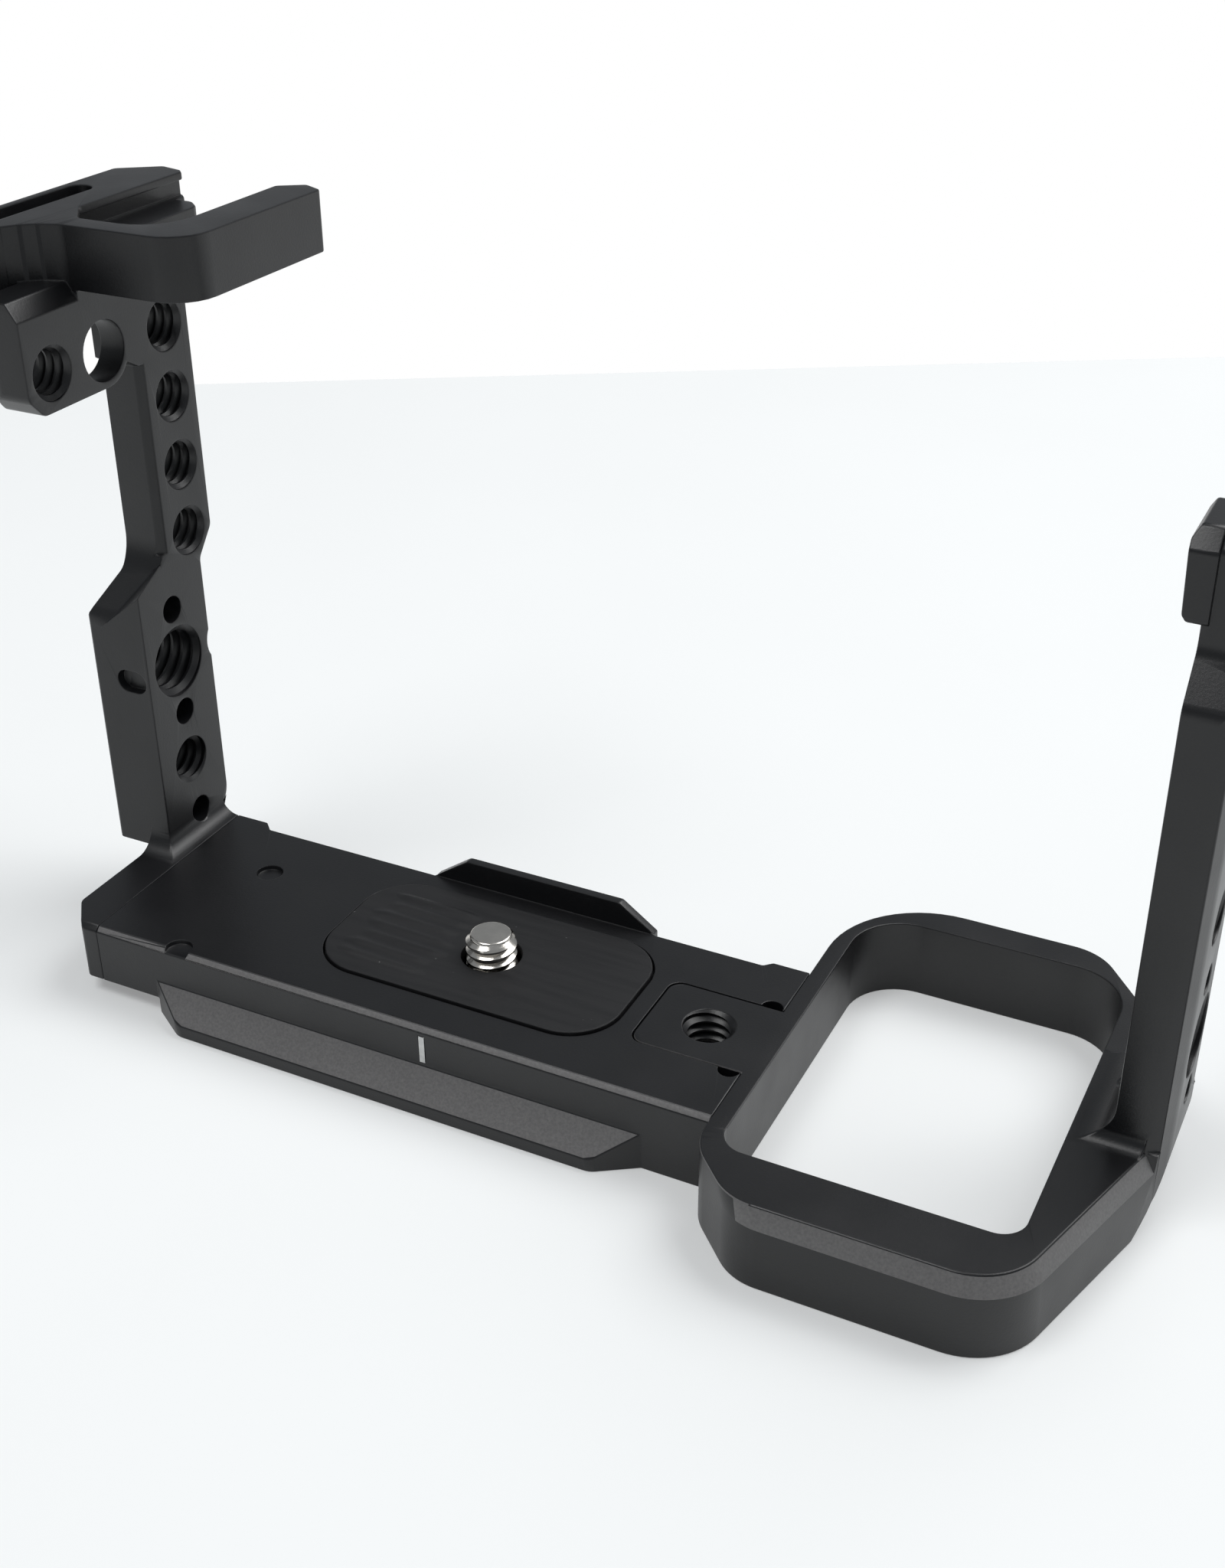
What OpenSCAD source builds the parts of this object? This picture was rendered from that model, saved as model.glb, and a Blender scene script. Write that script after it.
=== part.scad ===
// Camera cage: a base plate with a dovetail rail, a left side plate that carries an
// accessory shoe, and a grip frame with a right upright. Open at the top.
// Origin: axis of the camera screw on the seating face. X runs to the camera's right,
// Y runs from the camera's back to its lens side, Z is up. Millimetres.

/* [Base plate] */
// From the seat's middle to the left joint face
plate_left = 48.8; // [46:0.2:54]
// From the seat's middle to the right joint face
plate_right = 35.8; // [34:0.2:40]
// From the seat's middle to the back face
plate_back = 14.45; // [13.8:0.05:16]
// From the seat's middle to the front face
plate_front = 14.9; // [14:0.05:17]
// Thickness of the plate's left end
plate_t = 8.1; // [7:0.1:9]
// Depth of the flat underside below the seating face
frame_h = 10.3; // [10:0.1:12]
// Chamfer along the plate's top edge at the back
plate_bevel = 0.7; // [0.4:0.05:1]
// Where the thin left end steps down to full depth, left of the seat's middle
step_left = 40; // [38:0.2:43]
// How far the left front corner stands out
left_ear = 1.4; // [0.6:0.1:2]
// How far the right front corner stands out
right_ear = 1.0; // [0.5:0.1:2]
// Length of each front corner ear
ear_len = 4.8; // [3:0.1:6]

/* [Dovetail rail] */
// Width over the rail's lips
rail_w = 38; // [37.5:0.1:38.5]
// Offset of the rail's middle from the seat's middle
rail_mid_y = 1.3; // [0.8:0.1:1.6]
// Height of the vertical lip under the 45 degree flare
rail_lip = 1.7; // [1.2:0.1:2.2]
// Left end of the lip, from the seat's middle
rail_left = 35; // [33:0.2:37]
// Right end of the lip, from the seat's middle
rail_right = 22.5; // [21.5:0.1:24]
// Length of each slanted end of the rail
rail_slant = 5.0; // [3.5:0.1:6]
// Corner radius of the rail's slanted ends
rail_corner_r = 2.5; // [1:0.1:3]

/* [Locating flange] */
// Left end of the flange's foot
flange_left = 16.3; // [14:0.1:18]
// Right end of the flange's foot
flange_right = 15.3; // [13:0.1:17]
// Run of the flange's slanted ends
flange_slant = 4.8; // [3:0.1:6]
// Height of the flange above the seating face
flange_h = 3.4; // [2.5:0.1:4.5]
// Thickness of the flange
flange_t = 1.2; // [1:0.1:2]

/* [Grip pad] */
// Length of the rubber pad
pad_l = 40.1; // [36:0.1:41]
// Width of the rubber pad
pad_w = 20.5; // [18:0.1:22]
// Middle of the pad, right of the seat's middle
pad_mid_x = -1.25; // [-2:0.05:-0.5]
// Middle of the pad, in front of the seat's middle
pad_mid_y = 1.85; // [1:0.05:2.4]
// Corner radius of the pad
pad_r = 6.5; // [3:0.1:8]
// Depth of the pad's pocket
pad_pocket = 1.2; // [0.8:0.1:1.6]
// How far the pad stands above the seating face
pad_proud = 0.3; // [0.05:0.05:0.4]
// Gap between the pad and its pocket's wall
pad_gap = 0.25; // [0.1:0.05:0.4]
// Radius of the screw hole in the pad
pad_hole_r = 3.75; // [3.5:0.05:4.4]

/* [Camera screw] */
// Axis of the camera screw, right of the seat's middle
screw_x = -0.75; // [-1.25:0.05:0]
// Axis of the camera screw, in front of the seat's middle
screw_y = 2.05; // [1.2:0.05:2.4]
// Thread radius of the camera screw, 1/4-20
screw_r = 3.15; // [3.1:0.01:3.17]
// Height of the screw's tip above the seating face when it is pushed up
screw_h = 5.1; // [4.5:0.1:5.6]
// Radius of the screw's flat tip
tip_r = 2.25; // [1.8:0.05:2.6]
// Height of the screw tip's chamfer
tip_bevel = 0.8; // [0.4:0.1:1.2]
// Radius of the screw's head
head_r = 7.0; // [6:0.1:7.4]
// Height of the screw's head
head_h = 2.9; // [2:0.1:3]
// How far the screw drops into the plate
screw_drop = 1.6; // [1:0.1:1.6]
// Width of the driver slot in the head
slot_w = 1.7; // [1.6:0.05:2]
// Depth of the driver slot in the head
slot_depth = 1.5; // [1:0.1:1.8]
// Running clearance of the screw in its bore
screw_play = 0.07; // [0.04:0.01:0.1]
// Thickness of the retaining clip
clip_t = 0.7; // [0.5:0.05:0.8]
// Outer radius of the retaining clip
clip_r = 4.8; // [4.4:0.1:5.2]
// Radius of the groove that holds the clip
groove_r = 2.45; // [2.2:0.05:2.6]
// Thickness of the web that guides the screw
web_t = 1.8; // [1.4:0.1:2]

/* [Side plate] */
// Radius of the cove between the left joint and the upright's inner face
seam_cove_r = 2.5; // [1.5:0.1:3]
// Thickness of the foot beyond the left joint
foot_t = 5.7; // [5:0.1:7]
// Thickness of the upright's lower part
lower_t = 9.0; // [7.6:0.1:9.6]
// Thickness of the upright's upper part
upper_t = 5.7; // [5.4:0.1:6.5]
// Back face of the upright's lower part
lower_back = 4.6; // [4:0.1:5]
// Front face of the upright's lower part
lower_front = 17.7; // [17.2:0.1:18]
// Back face of the upright's upper part
upper_back = 10.5; // [10:0.1:11]
// Front face of the upright's upper part
upper_front = 20.6; // [20:0.05:21.5]
// Height at which the back edge starts to step forward
bend_z = 33.2; // [31:0.1:34]
// Rise of that step
bend_rise = 7.0; // [6:0.1:9]
// Height of the inner flank left standing beside the step
flank_z = 37.1; // [36:0.1:38]
// Height at which the flank's top leaves the outer edge
flank_low_z = 30.2; // [29:0.1:31.5]
// Height at which the front edge starts to step forward
jog_z = 37.5; // [36:0.1:38.4]
// Height at which the outside starts to draw in
shoulder_z = 32.6; // [31:0.1:34]
// Rise over which the outside draws in
shoulder_rise = 5.8; // [4:0.1:6]
// Radius of the cove where the upright meets the foot's back
foot_cove_r = 3.0; // [2:0.1:3.5]

/* [Side tab] */
// Back end of the tab
tab_back = 8.7; // [8.2:0.1:10]
// Underside of the tab
tab_z = 64.2; // [63.6:0.05:64.9]
// Bevel along the tab's upper inner edge
tab_bevel = 1.2; // [0.6:0.1:1.6]
// Radius of the tab's plain hole
tab_hole_r = 3.6; // [3:0.05:3.8]
// Wall of the tab round the plain hole
tab_hole_wall = 3.6; // [2.5:0.1:4.5]
// Height of the tab's two holes
tab_hole_z = 68.7; // [68.2:0.05:69.5]
// Plain hole, in front of the seat's middle
tab_hole_y = 4.8; // [4.4:0.1:5.2]
// Threaded hole, behind the seat's middle
tab_thread_y = -4.3; // [-4.8:0.1:-3.8]

/* [Shoe and strap bar] */
// Top face of the shoe
shoe_top = 84.0; // [83:0.1:88]
// Underside of the shoe
shoe_bottom = 76.6; // [76:0.1:77.4]
// How far the strap bar stands out of the upright
bar_w = 7.4; // [7:0.1:9]
// Width of the strap slot
strap_slot_w = 3.3; // [2.5:0.1:3.5]
// Wall outside the strap slot
strap_wall = 1.1; // [0.9:0.1:1.3]
// Front end of the strap slot
strap_front = 17.5; // [15:0.1:18.5]
// Back end of the strap bar
bar_back = 12; // [8:0.5:16]
// Lip of the shoe, from the upright's inner face
lip_in = 4.3; // [4:0.1:4.5]
// Thickness of the shoe's lip
lip_t = 1.0; // [0.8:0.1:1.3]
// Height of the groove under the lip
groove_h = 2.0; // [1.8:0.1:2.2]
// Depth of the groove under the lip
groove_depth = 1.1; // [0.8:0.1:1.3]
// Free width between the lip and the prong
shoe_gap = 14.5; // [13:0.1:16]
// Thickness of the prong
prong_t = 5.6; // [4.4:0.1:6.4]
// Front end of the shoe
shoe_front = 29.1; // [28:0.1:32]
// Closed end of the shoe
shoe_closed = 4.7; // [4.2:0.1:6]
// Back face of the shoe
shoe_back = 1.5; // [1:0.1:2]

/* [Grip frame] */
// Wall between the right joint and the grip opening
ring_left_wall = 2.3; // [2.2:0.1:4]
// Length of the grip opening
open_l = 33.5; // [30:0.5:36]
// Back edge of the grip opening
open_back = 18; // [16:0.1:19]
// Front edge of the grip opening
open_front = 31.4; // [28:0.1:31.6]
// Corner radius of the opening at the back
open_back_r = 3.0; // [2:0.1:5]
// Corner radius of the opening at the front
open_front_r = 7.0; // [5:0.1:9]
// Wall behind the opening
ring_back_wall = 8.3; // [7:0.1:10]
// Wall in front of the opening
ring_front_wall = 4.2; // [4:0.1:6]
// Slant of the ring's right side, in degrees
ring_slant = 16.6; // [12:0.1:18]
// Corner radius of the ring at the back right
ring_corner_r = 9; // [6:0.1:10]
// Width of the ring's bevel
bevel_w = 1.2; // [0.6:0.1:1.5]
// Depth of the ring's bevel
bevel_h = 2.2; // [1:0.1:2.6]

/* [Right upright] */
// Radius of the scoop between the opening and the upright's inner face
scoop_r = 4.6; // [4:0.05:5.2]
// Thickness of the right upright
grip_t = 5.95; // [5.5:0.05:7]
// Back face of the right upright
grip_back = 0.9; // [0.5:0.1:1.3]
// Front face of the right upright
grip_front = 16.5; // [15.8:0.1:18]
// Height of the right upright
grip_top = 69.4; // [66:0.1:76]
// Height of the bend in the upright's back edge
grip_bend_z = 52.6; // [49:0.1:54]
// How far the back edge steps forward at the bend
grip_step = 3.8; // [3:0.1:5]
// Height of the lug on the inner face
lug_h = 9.4; // [8:0.1:10]
// How far the lug stands out of the inner face
lug_out = 1.85; // [1:0.05:2.2]
// Radius of the cove at the upright's back foot
grip_cove_r = 1.8; // [1:0.1:2.2]

/* [Tongue joint] */
// Length of the tongue
tongue_l = 14.2; // [13.6:0.1:15]
// Width of the tongue
tongue_w = 12.6; // [12:0.1:13.4]
// Middle of the tongue, in front of the seat's middle
tongue_mid_y = 0.9; // [0.4:0.1:1.4]
// Thickness of the tongue
tongue_t = 5.5; // [5:0.1:6]
// Gap round the tongue
tongue_gap = 0.15; // [0.08:0.01:0.25]
// Threaded hole in the tongue, from the right joint face
tongue_thread_in = 6.8; // [6.4:0.1:7.2]

/* [Holes and fasteners] */
// Radius of a 1/4-20 threaded hole
quarter_r = 3.175; // [3.1:0.005:3.2]
// Radius of a 3/8-16 threaded hole
three_eighths_r = 4.7625; // [4.7:0.0025:4.8]
// Radius of the locating holes beside a 3/8-16 hole
locating_r = 1.75; // [1.5:0.05:2]
// Spacing of the locating holes from the 3/8-16 hole
locating_pitch = 7.35; // [7.1:0.05:7.6]
// Spacing of the 1/4-20 holes in the left upright
row_pitch = 8.9; // [8.6:0.05:8.9]
// Shank radius of the M3 screws
m3_r = 1.47; // [1.4:0.01:1.49]
// Radius of the M3 threaded holes
m3_thread_r = 1.5; // [1.5:0.01:1.55]
// Radius of the M3 clearance holes
m3_clear_r = 1.65; // [1.6:0.01:1.8]
// Head radius of the side screws
cap_r = 2.75; // [2.6:0.05:2.8]
// Head height of the side screws
cap_h = 3.0; // [2.4:0.1:3]
// Radius of the dowel pins
pin_r = 0.98; // [0.9:0.01:0.99]
// Radius of the dowel pin holes
pin_hole_r = 1.0; // [1:0.01:1.05]

/* [Key and magnets] */
// Length of the flat key
key_l = 28; // [24:0.5:29]
// Width of the flat key
key_w = 9.4; // [8:0.1:10]
// Thickness of the flat key
key_t = 1.5; // [1.3:0.05:1.55]
// Middle of the key's pocket, right of the seat's middle
key_x = -22; // [-24:0.5:-20]
// Gap round the key in its pocket
key_gap = 0.3; // [0.2:0.05:0.5]
// Depth of the key's pocket
key_pocket = 2.0; // [1.8:0.05:2.2]
// Radius of the magnets
magnet_r = 1.97; // [1.5:0.01:1.98]
// Height of the magnets
magnet_h = 1.5; // [1:0.1:2]

/* [Hidden] */
$fn = 64;
corner_steps = 6;
wide_steps = 14;
over = 1;
seat_gap = 0.03;
anodised = "#1b1c1e";
rubber_black = "#101112";
steel = "#b9bcc0";
dark_steel = "#3a3b3d";

// Faces of the side plate and the shoe, worked out from the left joint
side_in = plate_left + seam_cove_r;
foot_out = plate_left + foot_t;
lower_out = side_in + lower_t;
upper_out = side_in + upper_t;
bar_out = upper_out + bar_w;
lip_x = side_in + lip_in;
prong_in = lip_x - shoe_gap;

// Faces of the grip frame, worked out from the right joint
open_left = plate_right + ring_left_wall;
open_right = open_left + open_l;
grip_in = open_right + scoop_r;
ring_right = grip_in + grip_t;
ring_back = open_back + ring_back_wall;
ring_front = open_front + ring_front_wall;

// Rail, worked out from its width, lip and the faces that it flares from
rail_back_y = rail_mid_y - rail_w / 2;
rail_front_y = rail_mid_y + rail_w / 2;
lip_z = -frame_h + rail_lip;
flare_back_z = lip_z + (-plate_back - rail_back_y);
flare_front_z = lip_z + (rail_front_y - plate_front);

// Camera screw stack, from the seating face down
pad_floor_z = -pad_pocket;
clip_top_z = pad_floor_z - 0.1;
clip_bottom_z = clip_top_z - clip_t;
web_top_z = clip_bottom_z - screw_drop - 0.2;
web_bottom_z = web_top_z - web_t;
head_top_z = web_bottom_z - 0.05;
head_bottom_z = head_top_z - head_h;
chamber_r = clip_r + 0.4;
counterbore_r = head_r + 0.6;
screw_bore_r = screw_r + screw_play;

// Tongue and its fasteners
tongue_x = plate_right - tongue_l;
tongue_back_y = tongue_mid_y - tongue_w / 2;
tongue_front_y = tongue_mid_y + tongue_w / 2;
tongue_thread_x = plate_right - tongue_thread_in;
tongue_screw_x = tongue_x + 2.4;
tongue_screw_pitch = 7;
tongue_screw_ys = [tongue_mid_y - tongue_screw_pitch / 2, tongue_mid_y + tongue_screw_pitch / 2];
tongue_screw_end_z = -1.8;
tongue_pin_x = plate_right - 2.3;
tongue_pin_pitch = 7.4;
tongue_pin_ys = [tongue_mid_y - tongue_pin_pitch / 2, tongue_mid_y + tongue_pin_pitch / 2];
tongue_pin_l = 6;
csk_r = 2.9;
csk_h = 1.5;
relief_r = 1.3;

// Left joint
side_screw_ys = [-6, 11];
side_screw_z = -plate_t / 2;
side_screw_l = 8;
cap_seat_x = -foot_out + cap_h + 0.1;
side_pin_ys = [-11.2, 2.5];
side_pin_l = 6;
socket_r = 1.25;
socket_depth = 1.6;

// Shallow round marks left by the fixture
dimple_r = 1.7;
dimple_depth = 0.6;
dimple_points = [[-plate_left + 12.4, 5.9], [-plate_left + 12.2, -plate_back + 1.05]];

// Index line on the back face
index_x = -1.1;
index_w = 0.8;
index_top_z = -1.2;
index_bottom_z = -5.0;
index_depth = 0.15;

// Holes in the left upright: a lower row with a 3/8-16 pattern, an upper row of 1/4-20
lower_row_y = lower_front - 6.8;
lower_quarter_z = 10.97;
lower_pattern_z = 25.6;
foot_hole_y = 11.6;
foot_hole_z = 2.95;
upper_row_y = upper_front - 4.54;
upper_row_z = 41.95;
upper_row_count = 4;
back_slot_x = -side_in - 2.8;
back_slot_z = 24.8;
back_slot_l = 4.4;
back_slot_h = 3.0;
back_slot_depth = 1.2;
scallop_r = 3.5;
scallop_depth = 0.55;

// Holes in the right upright
grip_row_y = 9.9;
grip_pattern_z = 10.2;
grip_quarter_z = 25.6;

// Ring outline
ring_tan = tan(ring_slant);
shoulder_y = 3.93;
ring_shoulder_r = 5;
ring_cut = 7.7;
ring_cut_r = 7;
ring_far_r = 13.4;
ring_front_right_x = ring_right - 15.6;
under_r = 25;
under_z = -0.9;
corner_face_x = ring_right - 2.3;
corner_face_y = 1.4;

// Key pocket
key_roof_z = -frame_h + key_pocket;
key_top_z = key_roof_z - 0.05;
key_mid_y = rail_mid_y - 1;
blade_l = 4;
blade_w = 6.5;
blade_run = 2;
key_hole_in = 4;
magnet_pitch = 18;
key_hole_r = 2;
magnet_ys = [key_mid_y - magnet_pitch / 2, key_mid_y + magnet_pitch / 2];

function unit2(v) = v / norm(v);

// Points of an arc that rounds the corner at p between its neighbours a and b
function corner_arc(a, p, b, r, steps) =
    let (
        u = unit2(a - p),
        v = unit2(b - p),
        half = acos(max(-1, min(1, u * v))) / 2,
        reach = min(r / tan(half), 0.49 * norm(a - p), 0.49 * norm(b - p)),
        arc_r = reach * tan(half),
        c = p + unit2(u + v) * (arc_r / sin(half)),
        s = p + u * reach - c,
        start = atan2(s[1], s[0]),
        turn = sign(cross(p - a, b - p)) * (180 - 2 * half)
    )
    [for (i = [0 : steps])
        c + arc_r * [cos(start + turn * i / steps), sin(start + turn * i / steps)]];

// A polygon with the radius radii[i] at its corner points[i]; 0 leaves it sharp
function rounded(points, radii, steps = corner_steps) =
    let (n = len(points))
    [for (i = [0 : n - 1])
        each radii[i] > 0
            ? corner_arc(points[(i + n - 1) % n], points[i], points[(i + 1) % n], radii[i], steps)
            : [points[i]]];

function arc(c, r, from, to, steps) =
    [for (i = [0 : steps]) c + r * [cos(from + (to - from) * i / steps),
                                    sin(from + (to - from) * i / steps)]];

// Corners of a rectangle about its middle
function box_corners(mid, l, w) = [
    mid + [-l / 2, -w / 2], mid + [l / 2, -w / 2],
    mid + [l / 2, w / 2], mid + [-l / 2, w / 2]
];

function same(r, n) = [for (i = [1 : n]) r];

// Prisms along each axis: points are (y, z), (x, z) and (x, y)
module along_x(points, x0, x1) {
    translate([x0, 0, 0])
        rotate([90, 0, 90])
            linear_extrude(x1 - x0)
                polygon(points);
}

module along_y(points, y0, y1) {
    translate([0, y1, 0])
        rotate([90, 0, 0])
            linear_extrude(y1 - y0)
                polygon(points);
}

module along_z(points, z0, z1) {
    translate([0, 0, z0])
        linear_extrude(z1 - z0)
            polygon(points);
}

module bore_x(y, z, r, x0, x1) {
    translate([x0, y, z])
        rotate([0, 90, 0])
            cylinder(r = r, h = x1 - x0);
}

module bore_y(x, z, r, y0, y1) {
    translate([x, y1, z])
        rotate([90, 0, 0])
            cylinder(r = r, h = y1 - y0);
}

module bore_z(x, y, r, z0, z1) {
    translate([x, y, z0])
        cylinder(r = r, h = z1 - z0);
}

// Concave fillet along X between a wall facing -Y and a floor
module cove_x(x0, x1, wall_y, floor_z, r) {
    difference() {
        translate([x0, wall_y - r, floor_z])
            cube([x1 - x0, r, r]);
        bore_x(wall_y - r, floor_z + r, r, x0 - over, x1 + over);
    }
}

// Concave fillet along Y; side is 1 when it lies right of the wall and -1 when left
module cove_y(y0, y1, wall_x, floor_z, r, side) {
    difference() {
        translate([side > 0 ? wall_x : wall_x - r, y0, floor_z])
            cube([r, y1 - y0, r]);
        bore_y(wall_x + side * r, floor_z + r, r, y0 - over, y1 + over);
    }
}

// ---- Base plate ----

plate_plan = [
    [-plate_left, -plate_back],
    [plate_right, -plate_back],
    [plate_right, plate_front + right_ear],
    [plate_right - ear_len, plate_front + right_ear],
    [plate_right - ear_len - right_ear, plate_front],
    [-plate_left + ear_len + left_ear, plate_front],
    [-plate_left + ear_len, plate_front + left_ear],
    [-plate_left, plate_front + left_ear]
];

plate_side = [
    [-plate_left, 0], [-plate_left, -plate_t], [-step_left, -plate_t],
    [-step_left, -frame_h], [plate_right, -frame_h], [plate_right, 0]
];

module base_slab() {
    intersection() {
        along_z(rounded(plate_plan, [0, 0, 0, 0.5, 0.5, 0.5, 0.5, 0]), -frame_h, 0);
        along_y(plate_side, -plate_back - over, plate_front + left_ear + right_ear + over);
    }
}

module dovetail_rail() {
    section = [
        [-plate_back, flare_back_z], [rail_back_y, lip_z], [rail_back_y, -frame_h],
        [rail_front_y, -frame_h], [rail_front_y, lip_z], [plate_front, flare_front_z]
    ];
    plan = [
        [-rail_left - rail_slant, -plate_back], [-rail_left, rail_back_y],
        [rail_right, rail_back_y], [rail_right + rail_slant, -plate_back],
        [rail_right + rail_slant, plate_front], [rail_right, rail_front_y],
        [-rail_left, rail_front_y], [-rail_left - rail_slant, plate_front]
    ];
    r = rail_corner_r;
    intersection() {
        along_x(section, -rail_left - rail_slant, rail_right + rail_slant);
        along_z(rounded(plan, [0, r, r, 0, 0, r, r, 0]), -frame_h, 0);
    }
}

module locating_flange() {
    outline = [
        [-flange_left, flare_front_z - flange_t - 1], [flange_right, flare_front_z - flange_t - 1],
        [flange_right, 0], [flange_right - flange_slant, flange_h],
        [-flange_left + flange_slant, flange_h], [-flange_left, 0]
    ];
    along_y(rounded(outline, [0, 0, 0, 0.8, 0.8, 0]), plate_front - 0.01, plate_front + flange_t);
}

module plate_edge_bevel(x0, x1) {
    along_x([
        [-plate_back - over, over],
        [-plate_back - over, -plate_bevel - over],
        [-plate_back + plate_bevel + over, over]
    ], x0, x1);
}

module camera_screw_bores() {
    bore_z(screw_x, screw_y, chamber_r, web_top_z, over);
    bore_z(screw_x, screw_y, screw_bore_r, web_bottom_z - over, web_top_z + over);
    bore_z(screw_x, screw_y, counterbore_r, -frame_h - over, web_bottom_z);
}

module tongue_pocket() {
    g = tongue_gap;
    pocket = [
        [tongue_x - g, tongue_back_y - g], [plate_right + over, tongue_back_y - g],
        [plate_right + over, tongue_front_y + g], [tongue_x - g, tongue_front_y + g]
    ];
    along_z(rounded(pocket, [1.7, 0, 0, 1.7]), -tongue_t - seat_gap, over);
    for (y = [tongue_back_y - g, tongue_front_y + g])
        bore_z(plate_right - relief_r - 0.2, y, relief_r, -tongue_t - seat_gap, over);
}

module tongue_fastener_bores() {
    for (y = tongue_screw_ys) {
        bore_z(tongue_screw_x, y, m3_clear_r, -frame_h - over, -tongue_t + over);
        translate([tongue_screw_x, y, -frame_h - 0.001])
            cylinder(r1 = csk_r + 0.1, r2 = m3_clear_r, h = csk_h);
    }
    for (y = tongue_pin_ys)
        bore_z(tongue_pin_x, y, pin_hole_r, -tongue_t - tongue_pin_l / 2 - 0.2, -tongue_t + over);
    bore_z(tongue_thread_x, tongue_mid_y, quarter_r + 0.2, -frame_h - over, -tongue_t + over);
}

module side_fastener_threads() {
    for (y = side_screw_ys)
        bore_x(y, side_screw_z, m3_thread_r, -plate_left - over, cap_seat_x + side_screw_l + 0.8);
    for (y = side_pin_ys)
        bore_x(y, side_screw_z, pin_hole_r, -plate_left - over, -plate_left + side_pin_l / 2 + 0.2);
}

module key_pocket_cut() {
    corners = box_corners([key_x, key_mid_y], key_w + 2 * key_gap, key_l + 2 * key_gap);
    along_z(rounded(corners, same(1.5, 4)), -frame_h - over, key_roof_z);
    // Finger scallop beside the key
    bore_z(key_x - key_w / 2 - key_gap, key_mid_y, 4, -frame_h - over, key_roof_z);
    for (y = magnet_ys)
        bore_z(key_x, y, magnet_r + 0.02, key_roof_z - over, key_roof_z + magnet_h + 0.05);
}

module base_plate() {
    color(anodised)
    difference() {
        union() {
            base_slab();
            dovetail_rail();
            locating_flange();
        }
        plate_edge_bevel(-plate_left - over, plate_right + over);
        along_z(rounded(box_corners([pad_mid_x, pad_mid_y], pad_l + 2 * pad_gap, pad_w + 2 * pad_gap),
                        same(pad_r + pad_gap, 4), wide_steps), pad_floor_z, over);
        camera_screw_bores();
        tongue_pocket();
        tongue_fastener_bores();
        side_fastener_threads();
        key_pocket_cut();
        for (p = dimple_points)
            bore_z(p[0], p[1], dimple_r, -dimple_depth, over);
        translate([index_x - index_w / 2, -plate_back - over, index_bottom_z])
            cube([index_w, over + index_depth, index_top_z - index_bottom_z]);
    }
}

// ---- Side plate ----

module side_foot() {
    plan = [
        [-plate_left, -plate_back], [-plate_left, plate_front + left_ear],
        [-foot_out, plate_front + left_ear], [-foot_out, -plate_back + 4.2],
        [-plate_left - 2.3, -plate_back]
    ];
    along_z(rounded(plan, [0, 0, 1, 1.5, 0.8]), -plate_t, 0);
}

module side_coves() {
    cove_x(-foot_out, -side_in, lower_back, 0, foot_cove_r);
    cove_y(lower_back, plate_front + left_ear, -side_in, 0, seam_cove_r, 1);
    intersection() {
        cove_x(-side_in, -plate_left, lower_back, 0, foot_cove_r);
        cove_y(lower_back - foot_cove_r, lower_back, -side_in, 0, seam_cove_r, 1);
    }
}

module side_upright() {
    top_z = shoe_bottom + over;
    outline = [
        [lower_back, 0], [lower_front, 0], [lower_front, jog_z], [upper_front, jog_z + 3.6],
        [upper_front, top_z], [upper_back, top_z], [upper_back, bend_z + bend_rise],
        [lower_back, bend_z]
    ];
    section = [
        [-lower_out, 0], [-side_in, 0], [-side_in, top_z], [-upper_out, top_z],
        [-upper_out, shoulder_z + shoulder_rise], [-lower_out, shoulder_z]
    ];
    intersection() {
        along_x(rounded(outline, [0, 4, 1.5, 1.5, 0, 0, 7, 4], wide_steps), -lower_out, -side_in);
        along_y(rounded(section, [0.9, 0, 0, 0, 2, 3]), lower_back, upper_front);
    }
}

// The inner flank stands beside the step; its top falls away to the outside
module inner_flank() {
    reach_y = upper_back - 0.7;
    reach_z = flank_z + 0.52 * (reach_y - lower_back);
    out_x = -lower_out + 0.4;
    low_z = flank_low_z - 3;
    polyhedron(
        points = [
            [-side_in, reach_y, reach_z], [-side_in, lower_back, flank_z],
            [out_x, lower_back, flank_low_z], [-side_in, lower_back, low_z],
            [out_x, lower_back, low_z], [-side_in, reach_y, low_z]
        ],
        faces = [[1, 0, 5, 3], [2, 1, 3, 4], [0, 1, 2], [3, 5, 4], [0, 2, 4, 5]]
    );
}

module side_tab() {
    hole = [tab_hole_y, tab_hole_z];
    top_z = shoe_bottom + over;
    outline = concat(
        [[upper_back + over, top_z]],
        rounded([
            [-tab_back, top_z], [-tab_back, tab_z + 2.35], [-tab_back + 2.2, tab_z],
            [tab_hole_y, tab_z]
        ], [0, 1.5, 1.5, 0]),
        arc(hole, tab_hole_z - tab_z, -84, -36, 8),
        [[upper_back - 1.9, tab_z + 2.05], [upper_back, tab_z + 0.95],
         [upper_back + over, tab_z + 0.95]]
    );
    plan = [
        [-side_in, -tab_back], [-side_in, upper_back + over], [-upper_out, upper_back + over],
        [-upper_out, -tab_back]
    ];
    difference() {
        intersection() {
            along_x(outline, -upper_out, -side_in);
            along_z(rounded(plan, [0, 0, 0, 2]), tab_z - over, shoe_bottom + 2);
        }
        // Bevel along the upper inner edge, behind the shoe
        along_y([
            [-side_in + over, shoe_bottom - tab_bevel * 1.2 - over * 1.2],
            [-side_in + over, top_z + over],
            [-side_in - tab_bevel - over / 1.2, top_z + over]
        ], -tab_back - over, shoe_back);
    }
}

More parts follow.
